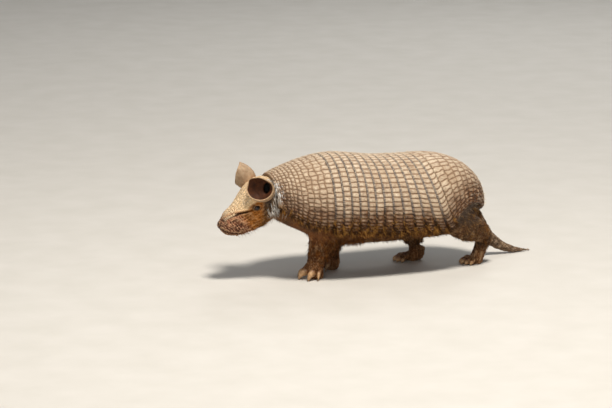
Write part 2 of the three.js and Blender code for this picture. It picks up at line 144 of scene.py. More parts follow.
# heights of a toe at its root, knuckle and end; then offset, spread, length, radius and claw of each toe
TOES = {
    "fore": (
        [13, 17, 11],
        [(-10.5, -36, 12, 3, 9), (-6, -19, 15, 3.8, 12), (0.5, 2, 17, 5.6, 16), (7.5, 25, 14, 5.6, 14),
         (11.5, 52, 9, 3.2, 8)],
    ),
    "hind": (
        [7, 8, 4.6],
        [(-8, -24, 13, 3, 5), (-4, -12, 16, 3.5, 7), (0, 0, 17, 3.8, 8), (4, 12, 16, 3.5, 7),
         (8, 24, 13, 3, 5)],
    ),
}

# ------------ numbers and shapes


def unit(v):
    return v / np.maximum(np.linalg.norm(v, axis=-1, keepdims=True), 1e-9)


def turns(count):
    """Angles once round a circle."""
    return np.linspace(0, 2 * np.pi, count, endpoint=False)


def power(v, p):
    return np.sign(v) * np.abs(v) ** (2 / p)


def ease(low, high, v):
    """0 at low and 1 at high, smooth between them."""
    t = np.clip((v - low) / (high - low), 0, 1)
    return t * t * (3 - 2 * t)


def ridge(value, width):
    return np.exp(-((value / width) ** 2))


def wobble(points, size, seed):
    """Smooth irregularity of about -1 to 1 with features of a given size in millimetres."""
    rng = np.random.default_rng(seed)
    total = 0
    for _ in range(7):
        direction = unit(rng.normal(size=3)) * (2 * np.pi / size) * rng.uniform(0.55, 1.2)
        total = total + np.sin(points @ direction + rng.uniform(0, 2 * np.pi))
    return total / 3.2


def random_of(*cells):
    """A number from 0 to 1 for each cell, the same each time."""
    v = sum(np.asarray(c, float) * k for c, k in zip(cells, (12.9898, 78.233)))
    v = np.sin(v) * 43758.5453
    return v - np.floor(v)


def linear(rgb):
    """Scene colours of 8-bit screen colours."""
    c = np.asarray(rgb, float) / 255
    return np.where(c <= 0.04045, c / 12.92, ((c + 0.055) / 1.055) ** 2.4)


def row_at(table, place):
    """A row read at a fractional place in a table, smooth across the rows."""
    last = len(table) - 1
    t = np.clip(np.asarray(place, float), 0, last)
    i = np.minimum(np.floor(t).astype(int), last - 1)
    f = (t - i)[..., None]
    a, b, c, d = (table[np.clip(i + k, 0, last)] for k in (-1, 0, 1, 2))
    return b + 0.5 * f * (c - a + f * (2 * a - 5 * b + 4 * c - d + f * (3 * (b - c) + d - a)))


def by_half(upper, v):
    """A direction's share of a section's reach, squarer in its lower half."""
    return np.where(upper, power(v, UPPER_ROUND), power(v, LOWER_ROUND))


def row_at_x(x, angle):
    """The row of BODY whose section passes a given x at an angle from the top."""
    c = np.cos(angle)
    level = WIDEST_LEVEL + np.where(c >= 0, 1 - WIDEST_LEVEL, WIDEST_LEVEL) * by_half(c >= 0, c)
    near, far = np.zeros_like(level), np.full_like(level, len(BODY) - 1.0)
    for _ in range(30):
        mid = (near + far) / 2
        row = row_at(BODY[:, [0, 2]], mid)
        ahead = row[..., 1] + (row[..., 0] - row[..., 1]) * level > x
        near, far = np.where(ahead, mid, near), np.where(ahead, far, mid)
    return near


def plate_edge(row):
    """Angle from the top to the shell's lower edge."""
    return np.radians(row_at(BODY, row)[..., 6])


def section_point(top, under, half, y, yaw, angle, depth):
    """A point of a section: angle 0 is the top, +90 degrees the left side, 180 the underside."""
    up = top - under
    height = np.linalg.norm(up, axis=-1)
    up = up / height[..., None]
    c, s = np.cos(angle), np.sin(angle)
    upper = c >= 0
    reach = np.where(upper, 1 - WIDEST_LEVEL, WIDEST_LEVEL) * height - depth
    rise = WIDEST_LEVEL * height + reach * by_half(upper, c)
    side = (half - depth) * by_half(upper, s)
    middle = (top[..., 0] + under[..., 0]) / 2
    along = under[..., 0] + up[..., 0] * rise - middle
    return np.stack([
        middle + along * np.cos(yaw) - side * np.sin(yaw),
        y + along * np.sin(yaw) + side * np.cos(yaw),
        under[..., 1] + up[..., 1] * rise,
    ], -1)


def body_point(row, angle, depth):
    row, angle = np.broadcast_arrays(np.asarray(row, float), np.asarray(angle, float))
    r, ahead, behind = (row_at(BODY, row + step) for step in (0, -0.5, 0.5))
    run = (ahead[..., 0] + ahead[..., 2] - behind[..., 0] - behind[..., 2]) / 2
    yaw = np.arctan2(ahead[..., 5] - behind[..., 5], run)
    return section_point(r[..., 0:2], r[..., 2:4], r[..., 4], r[..., 5], yaw, angle, depth)


def head_point(row, angle, depth):
    row, angle = np.broadcast_arrays(np.asarray(row, float), np.asarray(angle, float))
    r = row_at(HEAD, row)
    return section_point(r[..., 0:2], r[..., 2:4], r[..., 4], HEAD_Y, 0.0, angle, depth)


def head_place(points):
    """Distance from the nose towards the nape of points near the head, along the head's own slope."""
    return (np.array([243, HEAD_Y, 78]) - points) @ unit(np.array([1.0, 0, -0.62]))


def above(line, points):
    """Height of points over a line along the head's side, given as its x and its z."""
    return points[:, 2] - np.interp(points[:, 0], *line)


def curve_at(path, t):
    """A centripetal Catmull-Rom curve through the points of a path, read at 0 to 1."""
    p = np.asarray(path, float)
    p = np.vstack([2 * p[0] - p[1], p, 2 * p[-1] - p[-2]])
    t = np.clip(np.asarray(t, float), 0, 1) * (len(p) - 3)
    i = np.minimum(np.floor(t).astype(int), len(p) - 4)
    f = (t - i)[..., None]
    a, b, c, d = (p[i + k] for k in range(4))
    d0, d1, d2 = (np.linalg.norm(v - u, axis=-1, keepdims=True) ** 0.5 for u, v in ((a, b), (b, c), (c, d)))
    m1 = ((b - a) / d0 - (c - a) / (d0 + d1) + (c - b) / d1) * d1
    m2 = ((c - b) / d1 - (d - b) / (d1 + d2) + (d - c) / d2) * d1
    return b + m1 * f + (3 * (c - b) - 2 * m1 - m2) * f**2 + (2 * (b - c) + m1 + m2) * f**3


def rings(path, radius, count, sides, start=0.0, end=1.0):
    """Rings round a curve, flattened by the floor. radius gives (across, upright) for an array of places."""
    t = np.linspace(start, end, count + 1)
    centre = curve_at(path, t)
    ahead = unit(curve_at(path, np.minimum(t + 1e-3, 1)) - curve_at(path, np.maximum(t - 1e-3, 0)))
    across = np.stack([-ahead[..., 1], ahead[..., 0], np.zeros(ahead.shape[:-1])], -1)
    across[np.linalg.norm(across, axis=-1) < 0.2] = (0, 1, 0)
    across = unit(across)
    up = np.cross(ahead, across)
    wide, high = (np.broadcast_to(v, t.shape)[:, None, None] for v in radius(t))
    a = turns(sides)[None, :, None]
    p = centre[:, None] + across[:, None] * wide * np.cos(a) + up[:, None] * high * np.sin(a)
    p[..., 2] = np.maximum(p[..., 2], 0)
    return p


def along_table(values):
    """A radius for rings, from the half widths at the points of its path."""
    values = np.asarray(values, float)
    return lambda t: row_at(values, t * (len(values) - 1)).T


def loft(p):
    """Points and faces of a closed skin over rings."""
    count, n = p.shape[:2]
    i, j = np.meshgrid(np.arange(count - 1), np.arange(n), indexing="ij")
    k = (j + 1) % n
    faces = np.stack([i * n + j, i * n + k, (i + 1) * n + k, (i + 1) * n + j], -1).reshape(-1, 4).tolist()
    points = np.vstack([p.reshape(-1, 3), p[0].mean(0), p[-1].mean(0)])
    first, last = len(points) - 2, len(points) - 1
    for a in range(n):
        b = (a + 1) % n
        faces.append([first, b, a])
        faces.append([last, (count - 1) * n + a, (count - 1) * n + b])
    return points, faces


def joined_lofts(many):
    """Points and faces of a closed skin over each set of rings."""
    points, faces, start = [], [], 0
    for p, f in map(loft, many):
        points.append(p)
        faces += [[v + start for v in face] for face in f]
        start += len(p)
    return np.vstack(points), faces


# ------------ pieces

# The frame's origin, found from where the left eye lies in it.
low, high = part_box("eye_left")
SHIFT = np.array((low + high) / 2) * 1000 - head_point(EYE_ROW, EYE_ANGLE, EYE_SUNK)


def to_frame(points):
    return (np.asarray(points) + SHIFT) / 1000


def to_design(points):
    return np.asarray(points) * 1000 - SHIFT


def linked(name, data):
    thing = bpy.data.objects.new(name, data)
    bpy.context.scene.collection.objects.link(thing)
    return thing


def add_attributes(mesh, attributes):
    """Numbers or colours for each point, which the materials read."""
    for key, values in attributes.items():
        values = np.asarray(values, np.float32)
        if values.ndim == 1:
            mesh.attributes.new(key, "FLOAT", "POINT").data.foreach_set("value", values)
        else:
            rgba = np.ones((len(values), 4), np.float32)
            rgba[:, :3] = values
            mesh.attributes.new(key, "FLOAT_COLOR", "POINT").data.foreach_set("color", rgba.ravel())


def smooth_shaded(mesh):
    mesh.polygons.foreach_set("use_smooth", [True] * len(mesh.polygons))


def piece_from(name, points, faces, **attributes):
    mesh = bpy.data.meshes.new(name)
    mesh.from_pydata(to_frame(points).tolist(), [], faces)
    mesh.validate()
    smooth_shaded(mesh)
    add_attributes(mesh, attributes)
    return linked(name, mesh)


def keep(piece, slot, material, *nodes):
    """Gives a piece its material and its place in the frame."""
    piece.data.materials.clear()
    piece.data.materials.append(material)
    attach(piece, "root")
    if nodes:
        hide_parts(*nodes)


# ------------ materials


class Nodes:
    """A short way to write a material's nodes. Sizes are in millimetres."""

    def __init__(self, name):
        self.material = bpy.data.materials.new(name)
        self.material.use_nodes = True
        self.tree = self.material.node_tree
        self.shader = self.tree.nodes["Principled BSDF"]
        self.place = self.tree.nodes.new("ShaderNodeTexCoord").outputs["Object"]

    def node(self, kind, inputs, output=0, **settings):
        n = self.tree.nodes.new(kind)
        for key, value in settings.items():
            setattr(n, key, value)
        for key, value in inputs.items():
            self.put(n.inputs[key], value)
        return n.outputs[output]

    def put(self, socket, value):
        if isinstance(value, bpy.types.NodeSocket):
            self.tree.links.new(value, socket)
        elif isinstance(value, tuple) and len(value) == 3 and socket.type == "RGBA":
            socket.default_value = (*linear(value), 1)
        else:
            socket.default_value = value

    def attribute(self, name, output="Fac"):
        return self.node("ShaderNodeAttribute", {}, output, attribute_name=name)

    def noise(self, size, detail, rough):
        inputs = {"Vector": self.place, "Scale": 1000 / size, "Detail": detail, "Roughness": rough}
        return self.node("ShaderNodeTexNoise", inputs)

    def cells(self, size, feature, randomness):
        inputs = {"Vector": self.place, "Scale": 1000 / size, "Randomness": randomness}
        return self.node("ShaderNodeTexVoronoi", inputs, "Distance", feature=feature)

    def mix(self, factor, a, b, blend="MIX"):
        n = self.tree.nodes.new("ShaderNodeMix")
        n.data_type, n.blend_type = "RGBA", blend
        for index, value in ((0, factor), (6, a), (7, b)):
            self.put(n.inputs[index], value)
        return n.outputs[2]

    def map(self, value, low, high, to_low=0.0, to_high=1.0):
        inputs = {"Value": value, "From Min": low, "From Max": high, "To Min": to_low, "To Max": to_high}
        return self.node("ShaderNodeMapRange", inputs)

    def times(self, a, b):
        return self.node("ShaderNodeMath", {0: a, 1: b}, operation="MULTIPLY")

    def less(self, a, b):
        return self.node("ShaderNodeMath", {0: a, 1: b}, operation="SUBTRACT")

    def total(self, *parts):
        """The sum of values, each with its share."""
        result, *rest = (self.times(value, share) for value, share in parts)
        for part in rest:
            result = self.node("ShaderNodeMath", {0: result, 1: part}, operation="ADD")
        return result

    def shades(self, value, dark, light, low=0.3, high=0.7):
        """A colour between two, by a value that lies mostly between low and high."""
        return self.mix(self.map(value, low, high), dark, light)

    def tinted(self, colour, tint, value, low, high, most):
        """A colour mixed toward a tint where a value is high: used for stains and specks, and on the skin
        also for painted shade and painted highlight.
        """
        return self.mix(self.map(value, low, high, 0, most), colour, tint)

    def bump(self, height, distance, strength):
        inputs = {"Height": height, "Distance": distance / 1000, "Strength": strength}
        return self.node("ShaderNodeBump", inputs)

    def finish(self, **inputs):
        for key, value in inputs.items():
            self.put(self.shader.inputs[key.replace("_", " ")], value)
        return self.material


def shell_material():
    n = Nodes("shell_horn")
    line, body, crown, tone = (n.attribute(key) for key in ("line", "body", "crown", "tone"))
    joint, lower = n.attribute("joint"), n.attribute("lower")
    patch, blotch = n.noise(38, 3, 0.55), n.noise(6, 4, 0.65)
    grain, speck = n.noise(1.5, 4, 0.7), n.noise(2.6, 3, 0.6)
    horn = n.shades(grain, (168, 144, 118), (208, 186, 158))
    horn = n.mix(n.times(tone, 0.6), horn, (142, 114, 88))
    horn = n.mix(n.times(crown, n.map(blotch, 0.35, 0.7, 0.0, 0.75)), horn, (224, 206, 180))
    horn = n.mix(n.attribute("pale"), horn, n.shades(blotch, (226, 188, 140), (252, 228, 188)))
    rim = n.shades(blotch, (134, 106, 80), (164, 134, 104))
    colour = n.mix(body, rim, horn)
    colour = n.tinted(colour, (150, 118, 86), patch, 0.42, 0.72, 0.4)
    colour = n.tinted(colour, (104, 78, 56), speck, 0.58, 0.72, 0.55)
    # Where the lower attribute is high, the horn darkens (less on the worn crowns), and so do the grooves and
    # the joint skin. On the body plates this is staining together with painted shade of their lower parts.
    worn = n.times(crown, n.map(blotch, 0.3, 0.7, 0.0, 0.75))
    dirt_and_shade = n.shades(blotch, (54, 32, 16), (124, 80, 42))
    colour = n.mix(n.times(lower, n.less(1.15, worn)), colour, dirt_and_shade)
    groove = n.shades(blotch, (92, 74, 58), (128, 100, 74), 0.35)
    colour = n.mix(n.times(line, 0.75), colour, n.mix(lower, groove, (46, 30, 20)))
    skin = n.shades(blotch, (84, 80, 82), (126, 116, 108))
    colour = n.mix(joint, colour, n.mix(lower, skin, (50, 38, 32)))
    height = n.total((grain, 0.6), (n.cells(1.0, "F1", 1.0), 0.4), (speck, 0.5))
    return n.finish(
        Base_Color=colour,
        Roughness=n.map(grain, 0.25, 0.75, 0.48, 0.8),
        Normal=n.bump(height, 0.6, 0.9),
        Specular_IOR_Level=0.35,
    )


def skin_material():
    n = Nodes("skin_hide")
    marking = n.attribute("marking", "Color")
    scaly, fold = n.attribute("scaly"), n.attribute("fold")
    patch, fine, scale = n.noise(5, 4, 0.6), n.noise(0.8, 3, 0.6), n.cells(2.2, "DISTANCE_TO_EDGE", 0.9)
    deep = n.mix(0.7, marking, (60, 36, 22), "MULTIPLY")
    light = n.mix(0.5, marking, (236, 196, 148))
    colour = n.tinted(marking, deep, patch, 0.4, 0.72, 0.4)
    colour = n.tinted(colour, light, fine, 0.45, 0.75, 0.4)
    # Proud skin turns lighter and deep skin darker: painted highlight on the folds and painted shade in the
    # creases and hollows.
    colour = n.tinted(colour, light, fold, 0.5, 1.0, 0.65)
    colour = n.tinted(colour, deep, fold, 0.5, 0.0, 0.85)
    # On scaly skin the middles of the scales turn lighter and the lines between them darker: painted
    # highlight, and painted shade in the creases.
    colour = n.mix(n.times(n.map(scale, 0.16, 0.42, 0, 0.6), scaly), colour, light)
    crease = n.map(scale, 0.0, 0.14)
    colour = n.mix(n.times(n.less(1.0, crease), n.times(scaly, 0.85)), colour, deep)
    height = n.total((n.times(crease, scaly), 0.8), (patch, 0.5), (fine, 0.3))
    return n.finish(
        Base_Color=colour,
        Roughness=n.map(patch, 0.3, 0.7, 0.55, 0.85),
        Normal=n.bump(height, 0.7, 0.9),
        Specular_IOR_Level=0.18,
    )


def ear_material():
    n = Nodes("ear_leather")
    vein, fine = n.noise(6, 4, 0.6), n.noise(1.1, 3, 0.6)
    outer = n.shades(vein, (136, 110, 84), (186, 160, 130))
    outer = n.tinted(outer, (122, 90, 64), n.noise(3, 4, 0.7), 0.5, 0.75, 0.6)
    outer = n.mix(n.attribute("foot"), outer, (142, 92, 54))
    # The inner face is the ear's own dark skin, darkened further as painted shade; the canal is painted
    # near-black, a painted shadow in the hole.
    inner = n.shades(vein, (44, 22, 12), (74, 40, 20))
    inner = n.tinted(inner, (104, 62, 34), fine, 0.5, 0.8, 0.35)
    inner = n.mix(n.attribute("canal"), inner, (8, 6, 5))
    return n.finish(
        Base_Color=n.mix(n.attribute("rim"), n.mix(n.attribute("inside"), outer, inner), (190, 156, 120)),
        Roughness=n.map(fine, 0.3, 0.7, 0.5, 0.75),
        Normal=n.bump(n.total((vein, 0.5), (fine, 0.5)), 0.35, 0.7),
        Subsurface_Weight=0.06,
        Subsurface_Radius=(0.004, 0.0015, 0.001),
        Specular_IOR_Level=0.12,
    )


def eye_material():
    n = Nodes("eye_wet")
    streak = n.noise(0.7, 3, 0.6)
    iris = n.shades(streak, (30, 17, 11), (58, 34, 20))
    return n.finish(
        Base_Color=n.mix(n.attribute("pupil"), iris, (4, 3, 3)),
        Roughness=n.map(streak, 0.3, 0.7, 0.1, 0.16),
        Specular_IOR_Level=0.4,
    )


def claw_material():
    n = Nodes("claw_horn")
    tip = n.attribute("along")
    streak, fine = n.noise(2.2, 4, 0.6), n.noise(0.6, 2, 0.5)
    colour = n.shades(streak, (150, 106, 64), (208, 170, 124))
    colour = n.mix(n.map(tip, 0.0, 0.5, 0.9, 0.0), colour, (112, 62, 26))
    colour = n.tinted(colour, (120, 92, 66), tip, 0.7, 1.0, 0.55)
    colour = n.tinted(colour, (98, 68, 46), fine, 0.5, 0.8, 0.35)
    return n.finish(
        Base_Color=colour, Roughness=n.map(streak, 0.3, 0.7, 0.32, 0.55), Normal=n.bump(streak, 0.25, 0.7),
    )


def coat_material():
    n = Nodes("coat_hair")
    marking, fleck = n.attribute("marking", "Color"), n.noise(1.5, 2, 0.5)
    paleness = n.node("ShaderNodeRGBToBW", {"Color": marking})
    shade = n.times(n.attribute("tone"), n.map(paleness, 0.25, 0.7, 0.5, 0.06))
    colour = n.tinted(n.mix(shade, marking, (54, 36, 22)), (214, 164, 100), fleck, 0.45, 0.8, 0.22)
    return n.finish(
        Base_Color=colour, Roughness=n.map(fleck, 0.3, 0.7, 0.5, 0.7), Specular_IOR_Level=0.1,
    )


def floor_material():
    n = Nodes("floor_plain")
    patch = n.noise(60, 3, 0.5)
    return n.finish(
        Base_Color=n.shades(patch, (200, 194, 184), (206, 200, 191)),
        Roughness=n.map(patch, 0.3, 0.7, 0.85, 0.95),
    )


SHELL, SKIN, EAR = shell_material(), skin_material(), ear_material()
EYE, CLAW, COAT = eye_material(), claw_material(), coat_material()

# ------------ camera, light and floor

VIEW_TURN, VIEW_RISE, VIEW_DISTANCE = math.radians(23), math.radians(11.4), 4.7
PICTURE_WIDTH, PIXEL = 612, 0.00145  # a picture's width in pixels, and metres of the subject to a pixel
AIM_LEFT, AIM_UP = 69, 64  # pixels from the middle of the design to the middle of the picture
SENSOR_WIDTH, FAR_CLIP = 36, 60
FLOOR_HALF = 12
LIGHT_AIM = (0, 0, 0.08)
# place, size, watts and colour of each light
LIGHTS = {
    "key": ((0.1, 1.0, 2.55), 0.7, 90, (1.0, 0.97, 0.92)),
    "fill": ((1.9, 2.4, 1.0), 1.6, 16, (1.0, 0.98, 0.95)),
    "back": ((-1.6, -2.2, 1.9), 1.4, 22, (0.95, 0.98, 1.0)),
}
SKY, SKY_STRENGTH = (0.86, 0.9, 0.95, 1), 0.26


def make_camera():
    a, e = VIEW_TURN, VIEW_RISE
    forward = -Vector((math.sin(a) * math.cos(e), math.cos(a) * math.cos(e), math.sin(e)))
    right = Vector((-math.cos(a), math.sin(a), 0))
    up = right.cross(forward)
    aim = Vector(to_frame([0, 0, 0])) - AIM_LEFT * PIXEL * right + AIM_UP * PIXEL * up
    data = bpy.data.cameras.new("camera")
    data.sensor_width = SENSOR_WIDTH
    data.lens = SENSOR_WIDTH * (VIEW_DISTANCE / PIXEL) / PICTURE_WIDTH
    data.clip_end = FAR_CLIP
    camera = linked("camera", data)
    camera.location = aim - forward * VIEW_DISTANCE
    camera.rotation_euler = Matrix((right, up, -forward)).transposed().to_euler()
    bpy.context.scene.camera = camera


def make_light(name, place, size, watts, colour):
    data = bpy.data.lights.new(name, "AREA")
    data.shape, data.size, data.energy, data.color = "DISK", size, watts, colour
    light = linked(name, data)
    light.location = place
    light.rotation_mode = "QUATERNION"
    light.rotation_quaternion = (Vector(LIGHT_AIM) - Vector(place)).to_track_quat("-Z", "Y")
    light.visible_camera = False


def make_floor():
    mesh = bpy.data.meshes.new("floor")
    s = FLOOR_HALF
    mesh.from_pydata([(-s, -s, 0), (s, -s, 0), (s, s, 0), (-s, s, 0)], [], [(0, 1, 2, 3)])
    mesh.materials.append(floor_material())
    floor = linked("floor", mesh)


def make_surroundings():
    make_camera()
    for name, light in LIGHTS.items():
        make_light(name, *light)
    world = bpy.data.worlds.new("studio")
    world.use_nodes = True
    background = world.node_tree.nodes["Background"].inputs
    background["Color"].default_value = SKY
    background["Strength"].default_value = SKY_STRENGTH
    bpy.context.scene.world = world
    bpy.context.scene.view_settings.view_transform = "Standard"
    make_floor()


# ------------ shell

ANGLES = np.linspace(-2.6, 2.6, 1041)
GROOVE, CORNER = 0.2, 1.4
SHIELD_COLUMNS, BAND_COLUMNS, BAND_ROWS, BAND_SCUTES = 440, 460, 22, 44


def steps(points, axis):
    """Distances between neighbouring points of a grid."""
    return np.linalg.norm(np.diff(points, axis=axis), axis=-1)


def seam_row(n, gap):
    """The rows of BODY at ANGLES, along the front of band n and a little ahead of it."""
    sweep = SWEEP * max(0, n - FIRST_SWEPT) * (1 - np.cos(ANGLES)) ** 2
    return row_at_x(FIRST_BAND_X - n * BAND_PITCH - sweep + gap, ANGLES)


def edge_angle(front, rear, s):
    """Angle from the top to a plate's lower edge, at shares of its length."""
    at = [np.interp(LOWEST, ANGLES, row) for row in (front, rear)]
    return plate_edge(at[0] + (at[1] - at[0]) * s)


def plate_rows(front, rear, s, columns):
    """Rows of BODY and angles of a grid over a plate."""
    angle = edge_angle(front, rear, s)[:, None] * np.linspace(-1, 1, columns)[None]
    a, b = np.interp(angle, ANGLES, front), np.interp(angle, ANGLES, rear)
    return a + (b - a) * s[:, None], angle


def scute_relief(points, place, counts, seed, jitter):
    """Raised scutes over a grid. place counts the rows of scutes; counts has the scutes of each row.
    Returns how far a point lies inside its scute in millimetres, its share of the way to the middle,
    a random number for the scute, and the point's share of the way across the plate."""
    along_step = np.linalg.norm(np.gradient(points, axis=0), axis=-1)
    arc = np.concatenate([np.zeros((len(points), 1)), np.cumsum(steps(points, 1), 1)], 1)
    share = arc / arc[:, -1:]
    side = 2 * share - 1
    spread = 0.5 + 0.5 * side * (0.82 + 0.18 * np.abs(side) ** 3)
    grown = place[:, None] + jitter * 0.08 * wobble(points, 11, seed)
    length = along_step / np.gradient(place)[:, None]
    row = np.clip(np.floor(grown).astype(int), 0, len(counts) - 1)
    phase = np.random.default_rng(seed).uniform(-0.5, 0.5, len(counts)) * jitter
    count = np.asarray(counts)[row]
    across = spread * count + phase[row] + jitter * 0.1 * wobble(points, 9, seed + 1)
    width = arc[:, -1:] / count / (0.82 + 0.72 * np.abs(side) ** 3)
    cell = np.floor(across)
    x = np.abs(grown - row - 0.5) * length
    y = np.abs(across - cell - 0.5) * width
    hx, hy = length / 2 - GROOVE, width / 2 - GROOVE
    dx, dy = x - hx + CORNER, y - hy + CORNER
    outside = np.hypot(np.maximum(dx, 0), np.maximum(dy, 0)) + np.minimum(np.maximum(dx, dy), 0) - CORNER
    middle = np.clip(1 - (x / hx) ** 2, 0, 1) * np.clip(1 - (y / hy) ** 2, 0, 1)
    return -outside, middle, random_of(row + seed * 7, cell), share


def keep_plate(name, node, outer, inner, values):
    """A plate between an outer and an inner grid with the same columns; values are given over the outer."""
    loop = np.concatenate([outer, inner[::-1]])
    rows, columns = loop.shape[:2]
    i, j = np.meshgrid(np.arange(rows), np.arange(columns - 1), indexing="ij")
    i, k = i * columns + j, (i + 1) % rows * columns + j
    faces = np.stack([i, k, k + 1, i + 1], -1).reshape(-1, 4).tolist()
    faces.append([r * columns for r in range(rows)][::-1])
    faces.append([r * columns + columns - 1 for r in range(rows)])
    rest = np.zeros(len(inner) * columns)
    values = {key: np.concatenate([v.ravel(), rest]) for key, v in values.items()}
    keep(piece_from(name, loop.reshape(-1, 3), faces, **values), "shell", SHELL, node)


def make_plate(name, node, front, rear, place_of, counts, rows, columns, seed, jitter, tinted, band=False):
    s = np.linspace(0, 1, rows)
    row, angle = plate_rows(front, rear, s, columns)
    base = body_point(row, angle, 0)
    inside, middle, tone, share = scute_relief(base, place_of(s), counts, seed, jitter)
    scute = ease(0.0, 0.9, inside)
    to_edge = (1 - np.abs(share - 0.5) * 2) * steps(base, 1).sum(1)[:, None] / 2
    depth = 0.95 - 0.8 * scute - 0.3 * middle * scute - 0.3 * (tone - 0.5) * scute
    depth = depth - 0.13 * wobble(base, 2.6, seed + 5) - 0.1 * wobble(base, 6, seed + 6)
    joint = np.zeros_like(depth)
    if band:
        tread = ease(0.25, 0.1, s)[:, None]
        depth = depth + 1.4 * tread - 0.5 * ease(0.25, 0.9, s)[:, None] + 0.7 * ease(0.95, 1.0, s)[:, None]
        joint += np.maximum(0.85 * ease(0.25, 0.12, s), 0.8 * ease(0.96, 1.0, s))[:, None]
    depth = depth + 1.6 * ease(3.2, 0.0, to_edge)
    outer = body_point(row, angle, depth)
    few = s[np.unique(np.linspace(0, rows - 1, 3 if band else 12).astype(int))]
    inner = body_point(*plate_rows(front, rear, few, columns), SHELL_THICKNESS)
    keep_plate(name, node, outer, inner, {
        "line": ease(0.5, 0.0, inside),
        "body": ease(0.1, 1.8, inside),
        "crown": middle * scute,
        "tone": tone,
        "joint": joint,
        # lower: darker towards the plate's lower edge, from staining and from painted shade of the underside;
        # the pair of numbers gives where it starts and where it is full, in millimetres from the edge.
        "lower": ease(*tinted, to_edge + 7 * wobble(base, 15, seed + 3)),
    })


def make_shield(part, front, rear, widths, pitch, rows, seed, jitter):
    """A fixed shield, with rows of scutes of given widths, and a pitch across for each row."""
    edges = np.concatenate([[0], np.cumsum(widths)])
    edges = edges / edges[-1]
    row, angle = plate_rows(front, rear, (edges[:-1] + edges[1:]) / 2, 200)
    across = steps(body_point(row, angle, 0), 1).sum(1)
    counts = np.maximum(np.round(across / pitch), 4)
    place_of = lambda s: np.interp(s, edges, np.arange(len(edges)))
    make_plate("shell_" + part, part + "_shield", front, rear, place_of, counts,
               # The shields' staining and painted shade start 62 mm from the lower edge and are full at 6 mm.
               rows, SHIELD_COLUMNS, seed, jitter, tinted=(62, 6))


def middle_band(n):
    """1 at the middle bands, falling to 0 beyond the first and the last."""
    return math.exp(-(((n - 6) / 4.5) ** 4))


def make_shell():
    make_shield("scapular", np.full_like(ANGLES, FRONT_ROW), seam_row(0, HALF_SEAM),
                np.linspace(5.6, 9.6, 12), np.linspace(5.2, 7.0, 12), rows=140, seed=3, jitter=1.3)
    for n in range(BANDS):
        band, middle = f"band_{n + 1:02d}", middle_band(n)
        front, rear = seam_row(n, -HALF_SEAM), seam_row(n + 1, HALF_SEAM)
        make_plate("shell_" + band, band, front, rear, lambda s: 0.02 + 0.96 * s, [BAND_SCUTES],
                   # On the middle bands the staining and painted shade are full further from the lower edge.
                   BAND_ROWS, BAND_COLUMNS, 20 + n, 0.4, (52 - 4 * middle, 5 + 18 * middle), band=True)
    make_shield("pelvic", seam_row(BANDS, -HALF_SEAM), np.full_like(ANGLES, REAR_ROW),
                np.linspace(10.4, 8.2, 15), np.linspace(7.2, 8.6, 15), rows=190, seed=60, jitter=1.0)


def shell_edge():
    """Places along the body, and the height of the shell's lower edge at each."""
    row = np.linspace(FRONT_ROW, REAR_ROW, 160)
    p = body_point(row, plate_edge(row), 0)
    order = np.argsort(p[:, 0])
    return p[order, 0], p[order, 2]


EDGE_X, EDGE_Z = shell_edge()


# ------------ skin

VOXEL, FIRST_SMOOTHING, LAST_SMOOTHING, FINE_BELOW = 0.0016, 7, 3, 30
SIDES = {"left": 1, "right": -1}
EYE_AT = {side: head_point(EYE_ROW, sign * EYE_ANGLE, EYE_SUNK) for side, sign in SIDES.items()}
EYE_OUT = {side: unit(head_point(EYE_ROW, SIDES[side] * EYE_ANGLE, 0) - at) for side, at in EYE_AT.items()}


def toe_path(knuckle, heading, arch, digit, side):
    """Points along a toe and its claw. arch has the toe's heights, digit its measures from TOES."""
    offset, spread, length, _, claw = digit
    forward, turn = math.radians(heading), math.radians(heading + side * spread)
    x, y = knuckle[0] - side * offset * math.sin(forward), knuckle[1] + side * offset * math.cos(forward)
    places = (
        (3, arch[0]), (length * 0.6, arch[1]), (length, arch[2]),
        (length + claw * 0.45, arch[2] * 0.75), (length + claw * 0.78, 0.8),
    )
    return [[x + reach * math.cos(turn), y + reach * math.sin(turn), height] for reach, height in places]


def toes(foot):
    """The radius and the path of each toe of a foot, from the inner one out."""
    _, _, knuckle, heading = FEET[foot]
    arch, digits = TOES[foot[:4]]
    side = SIDES[foot.split("_")[-1]]
    return [(digit[3], toe_path(knuckle, heading, arch, digit, side)) for digit in digits]


def flesh():
    """Rings of every part of the body that one skin covers."""
    around = turns(96)
    yield body_point(np.linspace(0.25, 13, 90)[:, None], around[None], FLESH_DEPTH)
    front, back = head_point(0, around, 1), body_point(0.25, around, FLESH_DEPTH)
    t = np.linspace(-0.12, 1.12, 12)[:, None, None]
    neck = back + (front - back) * t
    middle = neck.mean(1, keepdims=True)
    yield middle + (neck - middle) * (1 - 0.04 * np.sin(np.pi * np.clip(t, 0, 1)))
    yield head_point(np.linspace(0, len(HEAD) - 1, 70)[:, None], around[None], 0.4)
    yield rings(TAIL_PATH, lambda t: [row_at(TAIL_RADIUS, t * 5)[:, 0] - 0.2] * 2, 60, 24)
    for path, radius in LEGS.values():
        yield rings(path, along_table(radius), 30, 40)
    for path, radius, _, _ in FEET.values():
        yield rings(path, along_table(radius), 16, 32)
    for foot in FEET:
        for girth, path in toes(foot):
            swell = lambda t: [girth * (1 + 0.08 * np.sin(t * 26)) * np.ones_like(t)] * 2
            yield rings(path, swell, 12, 20, 0, 0.56)


def edges_of(mesh):
    edges = np.zeros(len(mesh.edges) * 2, np.int32)
    mesh.edges.foreach_get("vertices", edges)
    return edges.reshape(-1, 2)


def points_of(mesh):
    out = np.zeros(len(mesh.vertices) * 3)
    mesh.vertices.foreach_get("co", out)
    return to_design(out.reshape(-1, 3))


def normals_of(mesh):
    out = np.zeros(len(mesh.vertices) * 3, np.float32)
    mesh.vertex_normals.foreach_get("vector", out)
    return out.reshape(-1, 3).astype(float)


